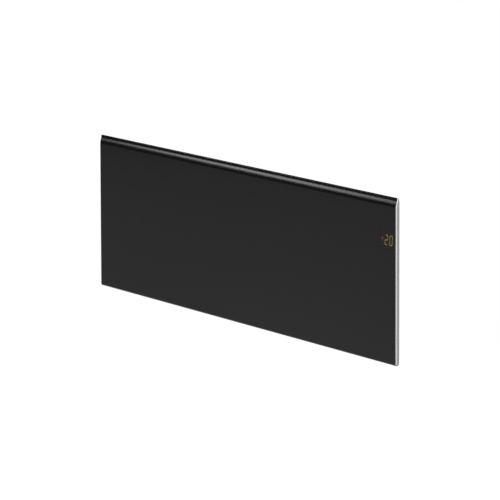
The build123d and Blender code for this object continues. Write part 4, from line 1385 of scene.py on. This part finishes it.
@dataclass
class MainsSwitch(SubAssembly):
    """The rocker switch on the side plate, marked with a bar and a ring."""

    nodes: tuple[str, ...] = ("switch_body", "switch_rocker", "switch_tabs")
    axis_x: float = 597 * MM
    ridge: float = 6.0 * MM
    end: float = 5.0 * MM
    tip: float = 10.8 * MM
    tilt: float = 10.0
    mark_reach: float = 6.0 * MM
    mark_size: float = 4.0 * MM
    mark_corner: float = 0.2 * MM
    stroke: float = 0.8 * MM
    ink: float = 0.06 * MM

    def mark_place(self, side: int) -> Matrix:
        """Give the place of a mark on the rocker's upper or lower half.

        Args:
            side: 1 for the upper half, -1 for the lower.

        Returns:
            A matrix whose Z points out of the face and whose Y points up it.
        """
        low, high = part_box("switch_rocker")
        middle = (low + high) / 2
        slope = (self.ridge - self.end) / self.tip
        turn = Matrix.Rotation(-radians(self.tilt), 4, "Y")
        local = Vector((self.ridge - slope * self.mark_reach, 0, side * self.mark_reach))
        spot = Vector((self.axis_x, middle.y, middle.z)) + turn.to_3x3() @ local
        facing = Matrix(((0, 0, 1), (1, 0, 0), (0, 1, 0))).to_4x4()
        return Matrix.Translation(spot) @ turn @ Matrix.Rotation(-side * slope, 4, "Y") @ facing

    def add_pieces(self) -> None:
        """Print the bar and the ring."""
        bar, ring = bmesh.new(), bmesh.new()
        add_slab(bar, self.stroke, self.mark_size, self.ink, self.mark_corner, self.mark_place(1))
        piece_from(bar, "on_mark", "white_ink", "rocker")
        radius = self.mark_size / 2
        add_ring(ring, radius, radius - self.stroke, self.ink, self.mark_place(-1))
        piece_from(ring, "off_mark", "white_ink", "rocker")


@dataclass
class CableInlet(SubAssembly):
    """The gland on the side plate: body, fluted cap and nut."""

    nodes: tuple[str, ...] = ("gland_body", "gland_cap", "gland_nut")


@dataclass
class TiltHardware(SubAssembly):
    """What the heater turns on and is latched by."""

    nodes: tuple[str, ...] = ("pivot_bracket_left", "pivot_bracket_right", "pivot_pins", "latch_studs")


@dataclass
class WallBracket(SubAssembly):
    """The frame on the wall, with its rivets and latch springs."""

    nodes: tuple[str, ...] = ("bracket_upright_left", "bracket_upright_right", "bracket_rail_top",
                              "bracket_rail_bottom", "bracket_rivets", "latch_spring_left",
                              "latch_spring_right")


def direction(azimuth: float, elevation: float) -> Vector:
    """Give the unit direction at an azimuth, from the room's side, and an elevation, in degrees."""
    turn, lift = radians(azimuth), radians(elevation)
    return Vector((sin(turn) * cos(lift), -cos(turn) * cos(lift), sin(lift)))


class StageShading(Wiring):
    """A stage piece's material, whose surface is whatever is shown."""

    def __init__(self, name: str) -> None:
        """Make the material.

        Args:
            name: its name.
        """
        self.material = bpy.data.materials.new(name)
        self.material.use_nodes = True
        super().__init__(self.material.node_tree)
        self.tree.nodes.remove(self.tree.nodes["Principled BSDF"])

    def show(self, surface: Socket) -> None:
        """Show a surface."""
        self.feed(self.tree.nodes["Material Output"], surface=surface)


def stage_piece(mesh: Mesh, name: str, material: bpy.types.Material) -> bpy.types.Object:
    """Put a stage piece in the scene.

    Args:
        mesh: its mesh, which is freed.
        name: its name.
        material: its material.

    Returns:
        The stage piece.
    """
    made = object_from(mesh, name)
    made.data.materials.append(material)
    return made


@dataclass(frozen=True)
class Softbox:
    """A square-on studio lamp."""

    name: str
    azimuth: float
    elevation: float
    distance: float
    width: float
    height: float
    radiance: float
    aim: Vector = field(default_factory=Vector)

    def build(self) -> None:
        """Put the lamp up, facing its aim and out of every camera's sight."""
        data = bpy.data.lights.new(self.name, "AREA")
        data.shape = "RECTANGLE"
        data.size = self.width
        data.size_y = self.height
        data.energy = self.radiance * pi * self.width * self.height
        lamp = bpy.data.objects.new(self.name, data)
        back = direction(self.azimuth, self.elevation)
        lamp.location = self.aim + back * self.distance
        lamp.rotation_euler = back.to_track_quat("Z", "Y").to_euler()
        lamp.visible_camera = False
        bpy.context.scene.collection.objects.link(lamp)


@dataclass(frozen=True)
class Card:
    """A card that only reflections see: an edge that is swept round the heater.

    The edge's ends are a distance from the heater and a height. The azimuths are where the sweep begins
    and ends, and the grey is how bright the card shows.
    """

    name: str
    start: Span
    end: Span
    azimuths: Span
    grey: float
    steps: int = 24

    def build(self) -> None:
        """Sweep the card, and hide it from all but reflections."""
        mesh = bmesh.new()
        outward = direction(self.azimuths[0], 0)
        mesh.edges.new([mesh.verts.new(outward * reach + Z_AXIS * z) for reach, z in (self.start, self.end)])
        bmesh.ops.spin(mesh, geom=[*mesh.verts, *mesh.edges], cent=(0, 0, 0), axis=Z_AXIS,
                       angle=radians(self.azimuths[1] - self.azimuths[0]), steps=self.steps, use_merge=False)
        shading = StageShading(self.name)
        shading.show(shading.node("ShaderNodeEmission", color=(self.grey,) * 3).outputs["Emission"])
        card = stage_piece(mesh, self.name, shading.material)
        card.visible_camera = False
        card.visible_diffuse = False
        card.visible_transmission = False
        card.visible_shadow = False


FLOOR_Z = -1.0
CARD_Z = FLOOR_Z + 10 * MM
CARD_END = 12.4


@dataclass
class Studio:
    """Floor, white surround, cards for the reflections, and the lamps."""

    floor_reach: float = 40.0
    floor_sides: int = 64
    floor_colour: float = 0.8
    floor_lift: float = 0.525
    ambient: float = 0.6
    cards: tuple[Card, ...] = (
        Card("left_card", (12.5, FLOOR_Z), (12.5, 10.0), (-35, -160), 0.01),
        Card("bevel_card", (4.0, CARD_Z), (4.0, 1.2), (0, 58), 1.32),
        Card("rear_card", (5.0, CARD_Z), (5.0, 0.6), (100, 145), 0.42),
        Card("near_sector", (5.3, CARD_Z), (CARD_END, CARD_Z), (-50, -57.5), 0.5),
        Card("middle_sector", (5.1, CARD_Z), (CARD_END, CARD_Z), (-57.5, -61), 0.46),
        Card("far_sector", (4.0, CARD_Z), (CARD_END, CARD_Z), (-61, -110), 0.355),
    )
    lamps: tuple[Softbox, ...] = (
        Softbox("highlight_box", -61.0, 11.5, 3.2, 0.8, 0.4, 5.7, Vector((0.05, -0.08, 0.17))),
        Softbox("overhead_box", 25.0, 62.0, 3.5, 2.4, 1.4, 1.0),
        Softbox("rear_box", 215.0, 38.0, 3.5, 1.8, 1.8, 1.2),
    )

    def surround(self) -> None:
        """Make the world: white to look at and in reflections, and a plain level as light."""
        world = bpy.data.worlds.new("surround")
        bpy.context.scene.world = world
        world.use_nodes = True
        wiring = Wiring(world.node_tree)
        seen = wiring.rays("Is Camera Ray", "Is Glossy Ray", "Is Transmission Ray")
        level = wiring.node("ShaderNodeMapRange", value=seen, to_min=self.ambient, to_max=1.0)
        wiring.feed(wiring.tree.nodes["Background"], color=(1.0, 1.0, 1.0), strength=level.outputs["Result"])

    def floor(self) -> None:
        """Lay the pale floor, which shows white with the heater's shadow, and is open from below."""
        shading = StageShading("pale_floor")
        plain = shading.node("ShaderNodeBsdfDiffuse", color=(self.floor_colour,) * 3)
        lifted = shading.node("ShaderNodeMath", shading.rays("Is Camera Ray"), self.floor_lift)
        lifted.operation = "MULTIPLY"
        lift = shading.node("ShaderNodeEmission", strength=lifted.outputs["Value"])
        upper = shading.node("ShaderNodeAddShader", plain.outputs["BSDF"], lift.outputs["Emission"])
        below = shading.node("ShaderNodeNewGeometry").outputs["Backfacing"]
        clear = shading.node("ShaderNodeBsdfTransparent")
        sides = shading.node("ShaderNodeMixShader", below, upper.outputs["Shader"], clear.outputs["BSDF"])
        shading.show(sides.outputs["Shader"])
        mesh = bmesh.new()
        bmesh.ops.create_circle(mesh, cap_ends=True, segments=self.floor_sides, radius=self.floor_reach)
        bmesh.ops.translate(mesh, verts=mesh.verts, vec=Z_AXIS * FLOOR_Z)
        stage_piece(mesh, "floor", shading.material)

    def build(self) -> None:
        """Put the studio up."""
        self.surround()
        self.floor()
        for thing in (*self.cards, *self.lamps):
            thing.build()
        bpy.context.scene.view_settings.view_transform = "Standard"


@dataclass
class PhotoCamera:
    """The camera, where the photograph's was."""

    lens: float = 328.84
    sensor: float = 36.0
    reach: float = 200.0
    azimuth: float = 60.736
    elevation: float = 8.075
    roll: float = -0.169
    distance: float = 10.495
    aim_x: float = 0.04806
    aim_z: float = -0.0073

    def build(self) -> None:
        """Set the camera up and make it the scene's."""
        data = bpy.data.cameras.new("photo_camera")
        data.lens = self.lens
        data.sensor_width = self.sensor
        data.clip_end = self.reach
        camera = bpy.data.objects.new("photo_camera", data)
        bpy.context.scene.collection.objects.link(camera)
        back = direction(self.azimuth, self.elevation)
        aim = Vector((self.aim_x, CAD_BOX[0].y, self.aim_z))
        right = Z_AXIS.cross(back).normalized()
        right.rotate(Matrix.Rotation(radians(self.roll), 3, back))
        facing = Matrix((right, back.cross(right), back)).transposed().to_4x4()
        camera.matrix_world = Matrix.Translation(aim + back * self.distance) @ facing
        bpy.context.scene.camera = camera


def main() -> None:
    """Build every sub-assembly in order, then the studio and the camera."""
    logging.basicConfig(level=logging.INFO, format="%(name)s: %(message)s")
    for kind in (FrontPanel, EndStrips, Display, RearCasing, HeatingElement, SupplyWiring, ThermostatUnit,
                 PushKeys, MainsSwitch, CableInlet, TiltHardware, WallBracket):
        LOG.info("building %s", kind.__name__)
        kind().build()
    if PALETTE.bare:
        raise RuntimeError(f"nodes without a finish: {sorted(PALETTE.bare)}")
    Studio().build()
    PhotoCamera().build()


if __name__ == "__main__":
    main()
